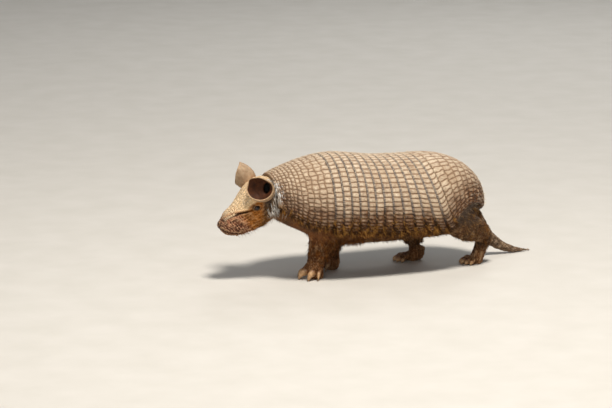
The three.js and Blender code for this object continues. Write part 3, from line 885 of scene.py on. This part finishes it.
def move_points(mesh, points):
    mesh.vertices.foreach_set("co", to_frame(points).ravel())
    mesh.update()


def smooth_mesh(mesh, rounds):
    """Moves each point half way to the mean of its neighbours, a number of times."""
    points, edges = points_of(mesh), edges_of(mesh)
    count = np.bincount(edges.ravel(), minlength=len(points)).astype(float)
    for _ in range(rounds):
        total = np.zeros_like(points)
        np.add.at(total, edges[:, 0], points[edges[:, 1]])
        np.add.at(total, edges[:, 1], points[edges[:, 0]])
        points = points + (total / count[:, None] - points) * 0.5
    move_points(mesh, points)
    return points


def refine(mesh, chosen):
    """Splits the faces whose centres are chosen."""
    b = bmesh.new()
    b.from_mesh(mesh)
    b.faces.ensure_lookup_table()
    centres = to_design(np.array([f.calc_center_median() for f in b.faces]))
    edges = {e for i in np.nonzero(chosen(centres))[0] for e in b.faces[i].edges}
    bmesh.ops.subdivide_edges(b, edges=list(edges), cuts=1, use_grid_fill=True)
    b.to_mesh(mesh)
    b.free()


def sculpt(points, normals):
    """Moves the skin's points to make its folds, lids, mouth, nostrils and wrinkles.
    Also returns how deep or proud each point lies."""
    x, y, z = points.T
    from_nose = head_place(points)
    on_brow, on_mouth = above(BROW, points), above(MOUTH, points)
    on_head = ease(HEAD_X, HEAD_X + 10, x)
    under_brow = ease(1.5, -1.5, on_brow)
    snout = ease(50, 26, from_nose) * on_head
    behind_nose = 0.3 + 0.7 * ease(6, 18, from_nose)
    wrinkle = np.sin(from_nose * 1.9 + 0.5 * (z - 80) + 1.6 * wobble(points, 8, 1))
    move = snout * (0.25 + 0.6 * under_brow) * 0.6 * wrinkle * ease(-0.9, 0.3, wobble(points, 7, 2))
    move += snout * (0.3 + 0.7 * under_brow) * 0.95 * behind_nose * wobble(points, 4.2, 11)
    move += on_head * (0.3 * wobble(points, 5, 3) + 0.25 * wobble(points, 2.8, 8))
    cheek = on_head * (1 - snout) * under_brow
    move += cheek * 0.35 * np.sin(z * 1.1 + 0.5 * x + 2.0 * wobble(points, 14, 9))
    neck = ease(152, 166, x) * ease(190, 178, x)
    move += neck * (0.3 * np.sin(x * 1.0 + 1.8 * wobble(points, 16, 4)) + 0.3 * wobble(points, 5, 10))
    limb = ease(66, 50, z) * (1 - on_head) * ease(-175, -165, x)
    move += limb * (0.5 * wobble(points, 4.5, 5) + 0.6 * wobble(points, 12, 15))
    joint_fold = ease(48, 40, z) * ease(14, 22, z) * limb
    move += joint_fold * 0.25 * np.sin(z * 1.15 + 1.6 * wobble(points, 12, 16))
    toe = ease(20, 14, z) * limb
    move += toe * 0.3 * np.sin(x * 2.1 + wobble(points, 8, 17))
    tail = ease(-168, -178, x) * ease(60, 50, z)
    move += tail * (0.4 * np.sin((x - z) * 1.3 + 1.4 * wobble(points, 9, 6)) + 0.5 * wobble(points, 3.6, 7))
    side_on = (np.abs(y - HEAD_Y) > 4.5) * on_head
    move -= 1.2 * ridge(on_mouth, 0.9) * ease(196, 203, x) * side_on
    move += 0.6 * ridge(on_mouth - 2.6, 1.4) * ease(198, 206, x) * side_on
    groove = ease(198, 203, x) * ease(240, 232, x) * side_on
    move -= 2.3 * ridge(on_brow, 1.25) * groove
    move += 1.2 * ridge(on_brow - 3.0, 1.5) * groove
    move += 0.7 * ridge(on_brow + 2.6, 1.3) * groove
    # fold: how deep or proud each point lies, which the skin material paints as shade and highlight.
    fold = move.copy()
    points = points + normals * move[:, None]
    for sign in SIDES.values():
        nostril = np.array([242.5, HEAD_Y + sign * 4.2, 78.5])
        away = np.linalg.norm((points - nostril) * (0.8, 1, 1), axis=1)
        points = points + np.outer(ridge(away, 1.9), (-3.4, 0, 0.4))
        points = points + normals * (0.8 * ridge(away - 3.2, 0.9))[:, None]
        fold -= 3 * ridge(away, 1.9)
    for side in EYE_AT:
        points, lids = eyelids(points, EYE_AT[side], EYE_OUT[side])
        fold += lids
    points[:, 2] = np.maximum(points[:, 2], 0)
    return points, np.clip(0.5 + fold / (1.8 - 0.8 * snout), 0, 1)


def eyelids(points, middle, out):
    """Opens the skin over an eye, and raises its lids and the folds round them.
    Also returns how deep or proud each point lies."""
    rel = points - middle
    depth = rel @ out
    flat = rel - np.outer(depth, out)
    forward = np.array([0.80, 0, -0.60])
    forward = unit(forward - out * np.dot(forward, out))
    up = np.cross(forward, out)
    up = up * np.sign(up[2])
    u, v = flat @ forward, flat @ up
    near = (depth > -6) & (np.hypot(u, v) < 14)
    lid = np.sqrt((u / 3.6) ** 2 + (v / 2.6) ** 2)
    upper_fold = ridge(v - 4.6 + 0.05 * u**2, 0.8) * (np.abs(u) < 8)
    lower_fold = ridge(v + 4.8 - 0.05 * u**2, 0.8) * (np.abs(u) < 7)
    corners = ridge(v, 0.8) * ease(3.2, 4.2, np.abs(u)) * ease(9.5, 6.5, np.abs(u))
    hollow = ease(1.15, 0.8, lid) * near
    ball = np.sqrt(np.maximum(EYE_RADIUS**2 - u**2 - v**2, 0))
    raised = (1.6 * ridge(lid - 1.42, 0.32) - 0.7 * upper_fold - 0.6 * lower_fold - 0.9 * corners) * near
    points = points + np.outer(raised, out)
    points = points - np.outer(hollow * np.maximum(depth - ball + 1.2, 0), out)
    return points, np.minimum(raised, 0.2) - 1.2 * hollow


def marking(points):
    """The animal's colours by place, shared by its skin and its hair."""
    x, _, z = points.T
    from_nose, on_brow = head_place(points), above(BROW, points)
    blotch = lambda size, seed, low, high: ease(low, high, wobble(points, size, seed))
    rump_shadow = ease(-84, -100, x) * ease(58, 74, z) * ease(-166, -150, x)
    fore_legs = ease(30, 50, x) * ease(LEG_TOP, 62, z) * (x < CHEST_X)
    feet = ease(34, 12, z) * (x > TAIL_X - 3) * (x < CHEST_X)
    tail = ease(-166, -178, x) * ease(80, 62, z)
    neck, head = ease(150, 168, x), ease(182, 190, x)
    crown = head * ease(1, 5, z - np.interp(x, [182, 194, 203, *BROW[0][3:]], [116, 114, 108, *BROW[1][3:]]))
    snout = ease(42, 28, from_nose) * head
    under_brow = head * ease(202, 208, x) * ease(240, 233, x)
    layers = [
        ((62, 32, 8), blotch(26, 31, -0.3, 0.7)),
        ((146, 86, 28), 0.5 * blotch(15, 32, 0.1, 0.9)),
        ((86, 62, 42), 0.6 * ease(-60, -95, x)),
        # Dark grey on the skin under the pelvic shield's lower edge: a painted shadow of the shield.
        ((66, 60, 56), 0.8 * rump_shadow),
        ((116, 58, 8), 0.6 * fore_legs),
        ((138, 86, 42), 0.65 * feet),
        ((108, 82, 64), tail),
        ((50, 33, 25), 0.8 * tail * blotch(6, 34, -0.1, 0.5)),
        ((196, 170, 142), 0.55 * tail * blotch(4, 35, 0.1, 0.6)),
        ((120, 76, 34), neck),
        # Dark skin under the white hair of the neck: painted shade between the strands.
        ((56, 44, 38), neck * ease(92, 104, z) * ease(192, 178, x)),
        ((214, 184, 144), neck * ease(136, 143, z)),
        ((170, 100, 20), head),
        ((106, 60, 16), 0.6 * head * blotch(11, 33, 0.0, 0.8)),
        ((238, 204, 156), crown),
        ((166, 106, 76), snout * (1 - 0.5 * crown)),
        ((80, 44, 34), 0.8 * snout * blotch(5, 36, -0.1, 0.5)),
        ((112, 62, 50), 0.5 * snout * ease(88, 78, z)),
        ((98, 54, 38), ease(13, 5, from_nose) * head),
        # A near-black line along the brow groove: painted shadow in the crease.
        ((36, 18, 10), 0.95 * under_brow * ridge(on_brow + 0.2, 1.7)),
        ((112, 68, 46), 0.8 * head * ease(76, 71, z) * ease(205, 214, x)),
    ]
    for eye in EYE_AT.values():
        away = np.linalg.norm((points - eye) * (0.8, 1, 1.3), axis=1)
        layers.append(((58, 36, 20), 0.85 * ease(7.5, 4.5, away)))
    colour = np.tile(linear((98, 54, 16)), (len(points), 1))
    for paint, share in layers:
        colour = colour + (linear(paint) - colour) * np.clip(share, 0, 1)[:, None]
    return colour


def make_skin():
    rough = piece_from("rough", *joined_lofts(flesh()))
    modifier = rough.modifiers.new("remesh", "REMESH")
    modifier.mode, modifier.voxel_size = "VOXEL", VOXEL
    evaluated = rough.evaluated_get(bpy.context.evaluated_depsgraph_get())
    mesh = bpy.data.meshes.new_from_object(evaluated)
    bpy.data.objects.remove(rough)
    smooth_mesh(mesh, FIRST_SMOOTHING)
    refine(mesh, lambda c: (c[:, 0] > HEAD_X) | ((c[:, 2] < FINE_BELOW) & (c[:, 0] > TAIL_X)))
    points, fold = sculpt(smooth_mesh(mesh, LAST_SMOOTHING), normals_of(mesh))
    move_points(mesh, points)
    x, _, z = points.T
    scaly = 0.25 + 0.75 * np.maximum(ease(40, 20, z) * (x > TAIL_X), ease(-168, -180, x))
    scaly = np.maximum(scaly, 0.75 * ease(196, 215, x))
    add_attributes(mesh, {"marking": marking(points), "scaly": scaly, "fold": fold})
    smooth_shaded(mesh)
    mesh.name = "skin"
    skin = linked("skin", mesh)
    keep(skin, "skin", SKIN, "trunk", "neck", "head", "tail_root", "tail_tip", *LEGS, *FEET)
    return skin


# ------------ head shield, ears, eyes and claws

PLATE_ROWS, PLATE_COLUMNS, SCUTE_ROWS, MOST_SCUTES = 150, 130, 18, 14
EAR_COLUMNS, EAR_ROWS, BOWL_ROWS = 96, 32, 44


def head_scute_middles(base, s):
    """Middles of the head's scutes, scattered a little from even rows."""
    rng = np.random.default_rng(5)
    places, shares = [], []
    for i in range(SCUTE_ROWS):
        place = i / SCUTE_ROWS
        fullness = math.sin(math.pi * min(0.5, 0.16 + place)) * (1 - 0.4 * i / SCUTE_ROWS)
        many = max(5, round(MOST_SCUTES * fullness))
        for j in range(many):
            places.append((i + 0.5 + rng.uniform(-0.25, 0.25)) / SCUTE_ROWS)
            shares.append(((j + 0.5 + rng.uniform(-0.2, 0.2)) / many) * 2 - 1)
    at = np.interp(places, s, np.arange(PLATE_ROWS)).astype(int)
    across = np.interp(shares, [-1, 1], [0, PLATE_COLUMNS - 1]).astype(int)
    return base[at, across]


def make_head_shield():
    s = np.linspace(0, 1, PLATE_ROWS)
    side = np.linspace(-1, 1, PLATE_COLUMNS)[None]
    taper = np.sin(np.pi * np.clip(0.12 + s, 0, 0.5))
    edge = np.radians(SHIELD_EDGE[0] + (SHIELD_EDGE[1] - SHIELD_EDGE[0]) * s) * taper
    angle = edge[:, None] * side
    row = np.repeat((SHIELD_ROWS[0] + (SHIELD_ROWS[1] - SHIELD_ROWS[0]) * s)[:, None], PLATE_COLUMNS, 1)
    base = head_point(row, angle, 0)
    away = np.linalg.norm(base[:, :, None] - head_scute_middles(base, s)[None, None], axis=-1)
    order = np.argsort(away, -1)
    first, second = (np.take_along_axis(away, order[..., k:k + 1], -1)[..., 0] for k in (0, 1))
    inside = (second - first) / 2 - 0.12
    scute, crown = ease(0.0, 0.7, inside), ease(0.4, 1.8, inside)
    tone = random_of(order[..., 0] + 3)
    near_side, near_end = (1 - np.abs(side)) * SHIELD_HALF_WIDTH, np.minimum(s, 1 - s) * SHIELD_LENGTH
    near_edge = np.minimum(near_side, near_end[:, None])
    depth = 0.55 - 0.5 * scute - 0.3 * crown - 0.5 * (tone - 0.5) * scute + 1.4 * ease(2.6, 0, near_edge)
    few = np.linspace(0, PLATE_ROWS - 1, 14).astype(int)
    inner = head_point(row[few], angle[few], SHIELD_THICKNESS)
    tip = ease(0.7, 1, s)[:, None] * np.ones_like(tone)
    keep_plate("head_plates", "head_shield", head_point(row, angle, depth), inner, {
        "line": 0.7 * ease(0.45, 0.0, inside),
        "body": 0.7 + 0.3 * ease(0.0, 1.2, inside),
        "crown": crown,
        "tone": 0.6 * tone,
        "lower": 0.4 * tip,
        "pale": 0.92 - 0.7 * tip,
    })


def bulge(angle, middle, width):
    away = (angle - math.radians(middle) + np.pi) % (2 * np.pi) - np.pi
    return np.exp(-((away / math.radians(width)) ** 2))


def make_ear(side):
    root, tip, face = (np.array(v, float) for v in EARS[side])
    rise = tip - root
    axis = unit(rise)
    face = unit(face - axis * (face @ axis))
    across = np.cross(axis, face)
    a = turns(EAR_COLUMNS)[None]
    front = np.cos(a)
    turn = SIDES[side] * a
    outline = sum(amount * bulge(turn, middle, width) for middle, width, amount in EAR_CORNERS[side])

    def leaf(t, inset):
        """Rings of the leaf's outer side, at shares t of its height."""
        t = t[:, None]
        height = (0.72 - 0.28 * front) * t
        flare = np.sin(np.pi / 2 * np.maximum(t, 0) ** 0.8)
        closing = 1 - 0.42 * t**4 * np.maximum(0, -front)
        radius = (EAR_RADIUS + EAR_FLARE * flare) * closing * (1 + outline * np.clip(t, 0, 1) ** 2) - inset
        radius = radius + 0.25 * np.sin(5 * a + 1) * np.clip(t, 0, 1) ** 2
        p = root + rise * height[..., None] + face * (radius * front * EAR_FLATNESS)[..., None]
        sway = EAR_SWAY[side] * np.maximum(height, 0)[..., None] ** 3
        return p + across * (radius * np.sin(a))[..., None] + sway

    t = np.linspace(-0.35, 1, EAR_ROWS)
    outer = leaf(t, 0.0)
    outer = outer + unit(outer - outer.mean(1, keepdims=True)) * (0.22 * wobble(outer, 4, 71))[..., None]
    rim = leaf(np.array([0.985]), 0.6)[0]
    middle, quarter = rim.mean(0), EAR_COLUMNS // 4
    mouth = unit(np.cross(rim[0] - rim[2 * quarter], rim[quarter] - rim[3 * quarter]))
    mouth = mouth * np.sign(mouth @ (face + axis))
    rear = unit(np.array([-1, 0.35 * SIDES[side], -0.15]))
    rear = unit(rear - mouth * (rear @ mouth))
    q = np.linspace(0, 1, BOWL_ROWS)[:, None, None]
    bowl = rim[None] * (1 - q) + (middle + rear * 7) * q
    rel = bowl - middle
    slit = np.hypot((rel @ rear - 9.5) / 4.6, rel @ np.cross(mouth, rear) / 8.0)
    canal = ease(1.12, 0.82, slit)
    bowl = bowl - mouth * (BOWL_DEPTH * (1 - (1 - q) ** 2) + CANAL_DEPTH * canal[..., None])
    bowl = bowl + mouth * (0.4 * wobble(bowl, 5, 72) * np.sin(np.pi * q[..., 0]))[..., None]
    points, faces = loft(np.concatenate([outer, bowl]))

    def spread(leaf_values, bowl_values, ends):
        """A number for each point, from numbers for the leaf's rings, the bowl's rings and the two ends."""
        grids = ((leaf_values, (EAR_ROWS, EAR_COLUMNS)), (bowl_values, (BOWL_ROWS, EAR_COLUMNS)))
        return np.concatenate([*(np.broadcast_to(v, shape).ravel() for v, shape in grids), ends])

    q = q[..., 0]
    broad = 0.045 + 0.13 * bulge(turn, 80, 46)
    piece = piece_from(
        "ear_leaf_" + side, points, faces,
        inside=spread(0, ease(0.0, 0.05, q), [0, 1]),
        rim=spread(ease(0.95, 1.0, t)[:, None], ease(broad, 0.3 * broad, q), [0, 0]),
        canal=spread(0, canal, [0, canal[-1].mean()]),
        foot=spread(ease(0.5, 0.1, t)[:, None], 0, [1, 0]),
    )
    keep(piece, "ear_skin", EAR, "ear_" + side)


def make_eye(side):
    out = EYE_OUT[side]
    across = unit(np.cross(out, [0, 0, 1]))
    up = np.cross(across, out)
    polar = np.linspace(0, np.pi, 33)[1:-1, None]
    turn = turns(40)[None]
    radius = EYE_RADIUS - CORNEA + CORNEA * ease(0.75, 0.0, polar)
    p = EYE_AT[side] + (radius * np.cos(polar) * np.ones_like(turn))[..., None] * out
    p = p + (radius * np.sin(polar) * np.cos(turn))[..., None] * across
    p = p + (radius * np.sin(polar) * np.sin(turn))[..., None] * up
    pupil = np.concatenate([np.repeat(ease(0.5, 0.4, polar[:, 0]), 40), [1, 0]])
    keep(piece_from("eyeball_" + side, *loft(p), pupil=pupil), "eye", EYE, "eye_" + side)


def make_claws(foot, count=22, sides=18):
    def horn(girth, path):
        taper = lambda t: [girth * s * (0.86 - 0.7 * np.clip(2 * t - 1, 0, 1) ** 1.7) for s in (0.98, 1.14)]
        return rings(path, taper, count, sides, 0.44, 1.0)

    horns = [horn(*toe) for toe in toes(foot)]
    reach = np.concatenate([np.repeat(np.linspace(0, 1, count + 1), sides), [0, 1]])
    name = foot.replace("foot", "claws")
    piece = piece_from(name, *joined_lofts(horns), along=np.tile(reach, len(horns)))
    keep(piece, "claw", CLAW, *[foot.replace("foot", "claw") + f"_{n}" for n in range(1, len(horns) + 1)])


# ------------ hair

UV_NAME, UV_TUFT = "OFBake", 0.003
# room round the body on the unwrap, and its width and height there; then the width and height of a leg or
# the tail, how far apart they lie, and their lower end
UV_MARGIN, UV_BODY = 0.02, (0.96, 0.5)
UV_TUBE, UV_STEP, UV_FOOT = (0.17, 0.42), 0.196, 0.55
ROOT_DEPTH, FLOOR_GAP = 0.5, 0.05
TUFT_REACH = np.array([0.0, 0.38, 0.72, 1.0])  # shares of a tuft's length where its rings and its tip lie
TUFT_TAPER = (1.0, 0.8, 0.45)
TUFT_RING = (3, 3, 3, 1)
TUFT_FACES = np.array([
    [2, 1, 0],
    *(
        face
        for k in (0, 3)
        for a, b in ((k, k + 1), (k + 1, k + 2), (k + 2, k))
        for face in ([a, b, b + 3], [a, b + 3, a + 3])
    ),
    [6, 7, 9], [7, 8, 9], [8, 6, 9],
])
BODY_FROM, BODY_LENGTH, BODY_RADIUS = -175, 425, 60
CENTRES = {"body": np.array([[x, 0, 100.0] for x in np.linspace(BODY_FROM, 245, 60)])}
for leg in LEGS:
    leg_path, foot_path = LEGS[leg][0], FEET[leg.replace("leg", "foot")][0]
    leg_centres = curve_at(leg_path, np.linspace(0.2, 1, 30))
    CENTRES[leg] = np.vstack([leg_centres, curve_at(foot_path, np.linspace(0, 1, 12))])
CENTRES["tail"] = curve_at(TAIL_PATH, np.linspace(0, 1, 40))


def unwrapped(points):
    """Each point's place on an unwrap of the body, the legs and the tail as tubes side by side."""
    best = np.full(len(points), np.inf)
    uv = np.zeros((len(points), 2))
    for island, (name, centres) in enumerate(CENTRES.items()):
        away = np.linalg.norm(points[:, None] - centres[None], axis=-1)
        nearest, distance = away.argmin(1), away.min(1)
        rel = points - centres[nearest]
        turn = np.arctan2(rel[:, 1], rel[:, 2 if name == "body" else 0]) / (2 * np.pi) + 0.5
        if name == "body":
            distance = distance - BODY_RADIUS
            share = (points[:, 0] - BODY_FROM) / BODY_LENGTH
            place = [UV_MARGIN + UV_BODY[0] * share, UV_MARGIN + UV_BODY[1] * turn]
        else:
            share = nearest / (len(centres) - 1)
            left = UV_MARGIN + UV_STEP * (island - 1)
            place = [left + UV_TUBE[0] * turn, UV_FOOT + UV_TUBE[1] * share]
        closer = distance < best
        best = np.where(closer, distance, best)
        uv[closer] = np.stack(place, -1)[closer]
    return np.clip(uv, UV_TUFT, 1 - UV_TUFT)


def strands(name, rng, roots, normals, lie, length, radius, colour, tip_colour, stand, mess=0.22):
    """A coat piece of solid tapered tufts, which leave the skin and bend over to the lie of the coat.
    lie is its x and z, stand the normal's share in a tuft's first direction, and mess how far lies differ."""
    count = len(roots)
    radius, stand = np.broadcast_to(radius, count), np.broadcast_to(stand, count)[:, None]
    lie = np.stack([np.broadcast_to(v, count) for v in (lie[0], 0.0, lie[1])], -1)
    lie = unit(lie + rng.normal(scale=mess, size=(count, 3)))
    lie = unit(lie - normals * np.minimum(np.sum(lie * normals, 1), 0)[:, None] * 0.9)
    start = unit(normals * stand + lie * (1 - stand))
    p0 = roots - normals * ROOT_DEPTH
    p1 = p0 + start * (length * 0.5)[:, None]
    p2 = p1 + unit(lie * 0.85 + start * 0.3) * (length * 0.5)[:, None]
    middles = [(1 - s) ** 2 * p0 + 2 * s * (1 - s) * p1 + s * s * p2 for s in TUFT_REACH]
    side = unit(np.cross(lie, normals) + 1e-3)
    other = unit(np.cross(side, start))
    each = sum(TUFT_RING)
    points = np.zeros((count, each, 3))
    for k, taper in enumerate(TUFT_TAPER):
        for m in range(3):
            turn = 2 * np.pi * m / 3
            offset = side * math.cos(turn) + other * math.sin(turn) * 0.7
            points[:, 3 * k + m] = middles[k] + offset * (radius * taper)[:, None]
    points[:, -1] = middles[-1]
    points[..., 2] = np.maximum(points[..., 2], FLOOR_GAP)
    faces = (TUFT_FACES[None] + each * np.arange(count)[:, None, None]).reshape(-1, 3)
    reach = np.repeat(TUFT_REACH, TUFT_RING)
    shade = colour[:, None] + (tip_colour - colour)[:, None] * reach[None, :, None]
    tone = np.repeat(rng.uniform(0, 1, count), each)
    piece = piece_from(name, points.reshape(-1, 3), faces.tolist(), marking=shade.reshape(-1, 3), tone=tone)
    corner = np.array([[0, 0], [1, 0], [0.5, 1]] * 3 + [[0.5, 0.5]]) * UV_TUFT
    lift = np.repeat((0, 0.25, 0.5, 1.0), TUFT_RING)[:, None]
    tuft_uv = corner * (1 - 0.4 * lift) + lift * np.array([0.0006, 0.0009])
    per_point = (unwrapped(roots)[:, None] + tuft_uv[None]).reshape(-1, 2)
    loops = np.zeros(len(piece.data.loops), np.int32)
    piece.data.loops.foreach_get("vertex_index", loops)
    piece.data.uv_layers.new(name=UV_NAME).data.foreach_set("uv", per_point[loops].ravel())
    keep(piece, "coat", COAT)


class Field:
    """Random roots over the skin."""

    def __init__(self, mesh):
        mesh.calc_loop_triangles()
        tri = np.zeros(len(mesh.loop_triangles) * 3, np.int32)
        mesh.loop_triangles.foreach_get("vertices", tri)
        self.tri = tri.reshape(-1, 3)
        self.points = points_of(mesh)
        self.normals = normals_of(mesh)
        a, b, c = (self.points[self.tri[:, k]] for k in range(3))
        doubled = np.cross(b - a, c - a)
        self.area = np.linalg.norm(doubled, axis=1) / 2
        self.centre = (a + b + c) / 3
        self.facing = unit(doubled)

    def roots(self, density, seed, off_ears=0):
        """Roots with a density in tufts to a square millimetre, and no nearer to the ears than off_ears."""
        rng = np.random.default_rng(seed)
        each = rng.poisson(np.maximum(density, 0) * self.area)
        index = np.repeat(np.arange(len(self.area)), each)
        w = rng.dirichlet((1, 1, 1), len(index))
        at = np.einsum("nk,nkd->nd", w, self.points[self.tri[index]])
        normal = unit(np.einsum("nk,nkd->nd", w, self.normals[self.tri[index]]))
        clear = np.ones(len(at), bool)
        for root, tip, _ in EARS.values():
            root, tip = np.array(root, float), np.array(tip, float)
            t = np.clip((at - root) @ (tip - root) / np.sum((tip - root) ** 2), -0.2, 1)
            clear &= np.linalg.norm(at - root - t[:, None] * (tip - root), axis=1) > off_ears
        return at[clear], normal[clear], rng


def either(rng, count, *colours):
    """One of some colours for each of a number of tufts."""
    return linear(colours)[rng.choice(len(colours), count, p=np.full(len(colours), 1 / len(colours)))]


def mottled(rng, points, size, seed, light, middle, dark, share=0.0):
    """A colour for each tuft, in patches of light, middle and dark hair."""
    value = wobble(points, size, seed) + rng.normal(scale=0.2, size=len(points)) + share
    return linear((dark, middle, light))[(value > 0.0).astype(int) + (value > 0.5)]


def make_belly_and_limb_coat(field):
    x, y, z = field.centre.T
    trunk = (x > -150) & (x < 160) & (z < np.interp(x, EDGE_X, EDGE_Z) + 3) & (z > 34)
    flank, upper_leg = ease(22, 58, np.abs(y - 3)), ease(66, 56, z) * (x > 40)
    density = trunk * (0.08 + 0.26 * flank + 0.2 * upper_leg) * (1 - ease(0.2, 0.8, field.facing[:, 2]))
    at, normal, rng = field.roots(density, 41)
    leg = ease(66, 56, at[:, 2]) * (at[:, 0] > 40)
    tips = mottled(rng, at, 5, 51, (206, 150, 80), (120, 72, 30), (50, 28, 14))
    tips += (mottled(rng, at, 6, 57, (200, 118, 28), (116, 62, 10), (44, 24, 8)) - tips) * leg[:, None]
    length = rng.uniform(4.5, 9, len(at)) * np.maximum(0.5 + 0.5 * ease(20, 60, np.abs(at[:, 1])), leg)
    strands("coat_belly", rng, at, normal, (-0.85 + 0.6 * leg, -0.45 - 0.5 * leg), length, 0.28,
            marking(at) * 0.35, tips, 0.2 + 0.12 * leg, 0.4)

    limb = (z < LEG_TOP) & ~trunk & (x < CHEST_X) & (x > TAIL_X + 3) & (z > 9)
    at, normal, rng = field.roots(limb * (0.55 - 0.3 * ease(26, 12, z)), 42)
    tips = mottled(rng, at, 6, 52, (186, 112, 30), (108, 58, 10), (48, 26, 8))
    length = rng.uniform(3.5, 7.5, len(at)) * (0.35 + 0.65 * ease(12, 36, at[:, 2]))
    strands("coat_limbs", rng, at, normal, (-0.25, -0.95), length, 0.23, marking(at) * 0.6, tips, 0.28)


def make_face_coat(field):
    from_nose = head_place(field.centre)
    cheek = (field.centre[:, 0] > HEAD_X) & (above(BROW, field.centre) < 4) & (from_nose > 26)
    at, normal, rng = field.roots(cheek * 0.55 * ease(26, 44, from_nose), 43, off_ears=13)
    clear = np.min([np.linalg.norm(at - eye, axis=1) for eye in EYE_AT.values()], 0) > 7.5
    at, normal = at[clear], normal[clear]
    length = rng.uniform(2.2, 4.2, len(at)) * (0.6 + 0.7 * ease(205, 180, at[:, 0]))
    tips = mottled(rng, at, 6, 53, (224, 158, 60), (160, 98, 26), (88, 50, 14), 0.2)
    strands("coat_face", rng, at, normal, (-0.9, -0.4), length, 0.24, marking(at) * 0.85, tips, 0.2)


# Light, middle and dark colours of the white hair; the dark one is painted shade between the white strands.
WHITE_HAIR = ((255, 254, 250), (236, 224, 208), (100, 82, 70))


def make_neck_coat(field):
    """Brown hair on the throat and white hair on the neck above it."""
    x, _, z = field.centre.T
    throat = (x > CHEST_X) & (x < 215) & (field.facing[:, 2] < 0.1) & (z < 100)
    ruff = (x > 163) & (x < 181) & (z > 92)
    density = throat * 0.07 + ruff * 0.42 * ease(182, 175, x) * ease(147, 141, z)
    at, normal, rng = field.roots(density, 44, off_ears=11)
    pale = ease(92, 102, at[:, 2]) * ease(187, 181, at[:, 0])
    white = mottled(rng, at, 7, 55, *WHITE_HAIR, 0.35)
    brown = either(rng, len(at), (196, 142, 74), (122, 76, 34))
    tips = brown + (white - brown) * pale[:, None]
    base = marking(at) * 0.8 * (1 - pale[:, None]) + white * 0.8 * pale[:, None]
    length = rng.uniform(4.5, 8.5, len(at)) * (1 + 0.3 * pale)
    strands("coat_neck", rng, at, normal, (-0.7 + 0.3 * pale, -0.9), length, 0.2 + 0.16 * pale,
            base, tips, 0.3 + 0.05 * pale, 0.26)


def shell_roots(row, angle):
    return body_point(row, angle, 0.6), unit(body_point(row, angle, -1) - body_point(row, angle, 1))


def make_bristles():
    """Sparse hairs between the scutes: pale and short on the back, longer and browner on the flanks."""
    rng = np.random.default_rng(45)
    rows, angles = [], []
    for n in range(BANDS + 1):
        seam = seam_row(n, 0.6)
        for low_angle, high_angle, many in ((0, 62, 46), (62, 100, 26)):
            for sign in SIDES.values():
                angles.append(sign * np.radians(rng.uniform(low_angle, high_angle, many)))
                rows.append(np.interp(angles[-1], ANGLES, seam))
    for low_row, high_row, many in ((0.3, 3.1, 520), (7.4, 12.4, 460)):
        rows.append(rng.uniform(low_row, high_row, many))
        angles.append(rng.uniform(-1, 1, many) * plate_edge(rows[-1]) * 0.97)
    angle = np.concatenate(angles)
    at, normal = shell_roots(np.concatenate(rows), angle)
    low_part = ease(70, 104, np.degrees(np.abs(angle)))
    length = rng.uniform(3.6, 6.6, len(at)) * (1 + 0.3 * low_part)
    pale = linear((240, 226, 200))
    colour = pale + (either(rng, len(at), (186, 134, 72), (112, 72, 38)) - pale) * low_part[:, None]
    strands("coat_bristles", rng, at, normal, (-0.75 + 0.2 * low_part, 0.1 - 0.95 * low_part), length,
            0.17 + 0.03 * low_part, colour * 0.85, colour, 0.7 - 0.35 * low_part)


def make_ruff(count=760):
    """White hair that lies over the front edge of the scapular shield behind the ears."""
    rng = np.random.default_rng(47)
    row = FRONT_ROW + rng.beta(1.0, 2.2, count) * 0.55
    angle = np.radians(rng.uniform(24, 92, count)) * rng.choice((-1, 1), count)
    at, normal = shell_roots(row, angle)
    white = mottled(rng, at, 7, 56, *WHITE_HAIR, 0.4)
    white = white + (linear((196, 150, 92)) - white) * ease(74, 92, np.degrees(np.abs(angle)))[:, None]
    length = rng.uniform(5.0, 10.0, count)
    strands("coat_ruff", rng, at, normal, (-0.3, -0.95), length, 0.3, white * 0.85, white, 0.25, 0.3)


def make_fringe():
    """The long hair that hangs from the lower ends of the plates."""
    rng = np.random.default_rng(46)
    rows, angles = [], []
    for n in range(-6, BANDS + 1):
        seam = seam_row(n, 0.6)
        edge = np.degrees(edge_angle(seam, seam, np.zeros(1))[0])
        many = 400 if 0 <= n < BANDS - 1 else 140
        reach = 0.22 + 0.08 * middle_band(n)
        for sign in SIDES.values():
            share = rng.beta(1.0, 2.2, many)
            angles.append(sign * np.radians(edge * (1 - reach * share)))
            rows.append(np.interp(angles[-1], ANGLES, seam) + rng.uniform(-0.12, 0.16, many))
    row, angle = np.concatenate(rows), np.concatenate(angles)
    at, normal = shell_roots(row, angle)
    near = ease(0.84, 1.0, np.abs(angle) / plate_edge(row))
    tips = mottled(rng, at, 5, 54, (228, 164, 80), (132, 78, 30), (38, 20, 8), 0.1)
    length = rng.uniform(3.0, 6.0, len(at)) * (1 + 0.7 * near)
    strands("coat_fringe", rng, at, normal, (-0.45, -0.9), length, 0.24 + 0.1 * near,
            tips * 0.4, tips, 0.3, 0.55)


# ------------ the whole animal

make_surroundings()
make_shell()
make_head_shield()
skin = make_skin()
for ear_side in EARS:
    make_ear(ear_side)
    make_eye(ear_side)
for foot in FEET:
    make_claws(foot)
field = Field(skin.data)
make_belly_and_limb_coat(field)
make_face_coat(field)
make_neck_coat(field)
make_bristles()
make_ruff()
make_fringe()
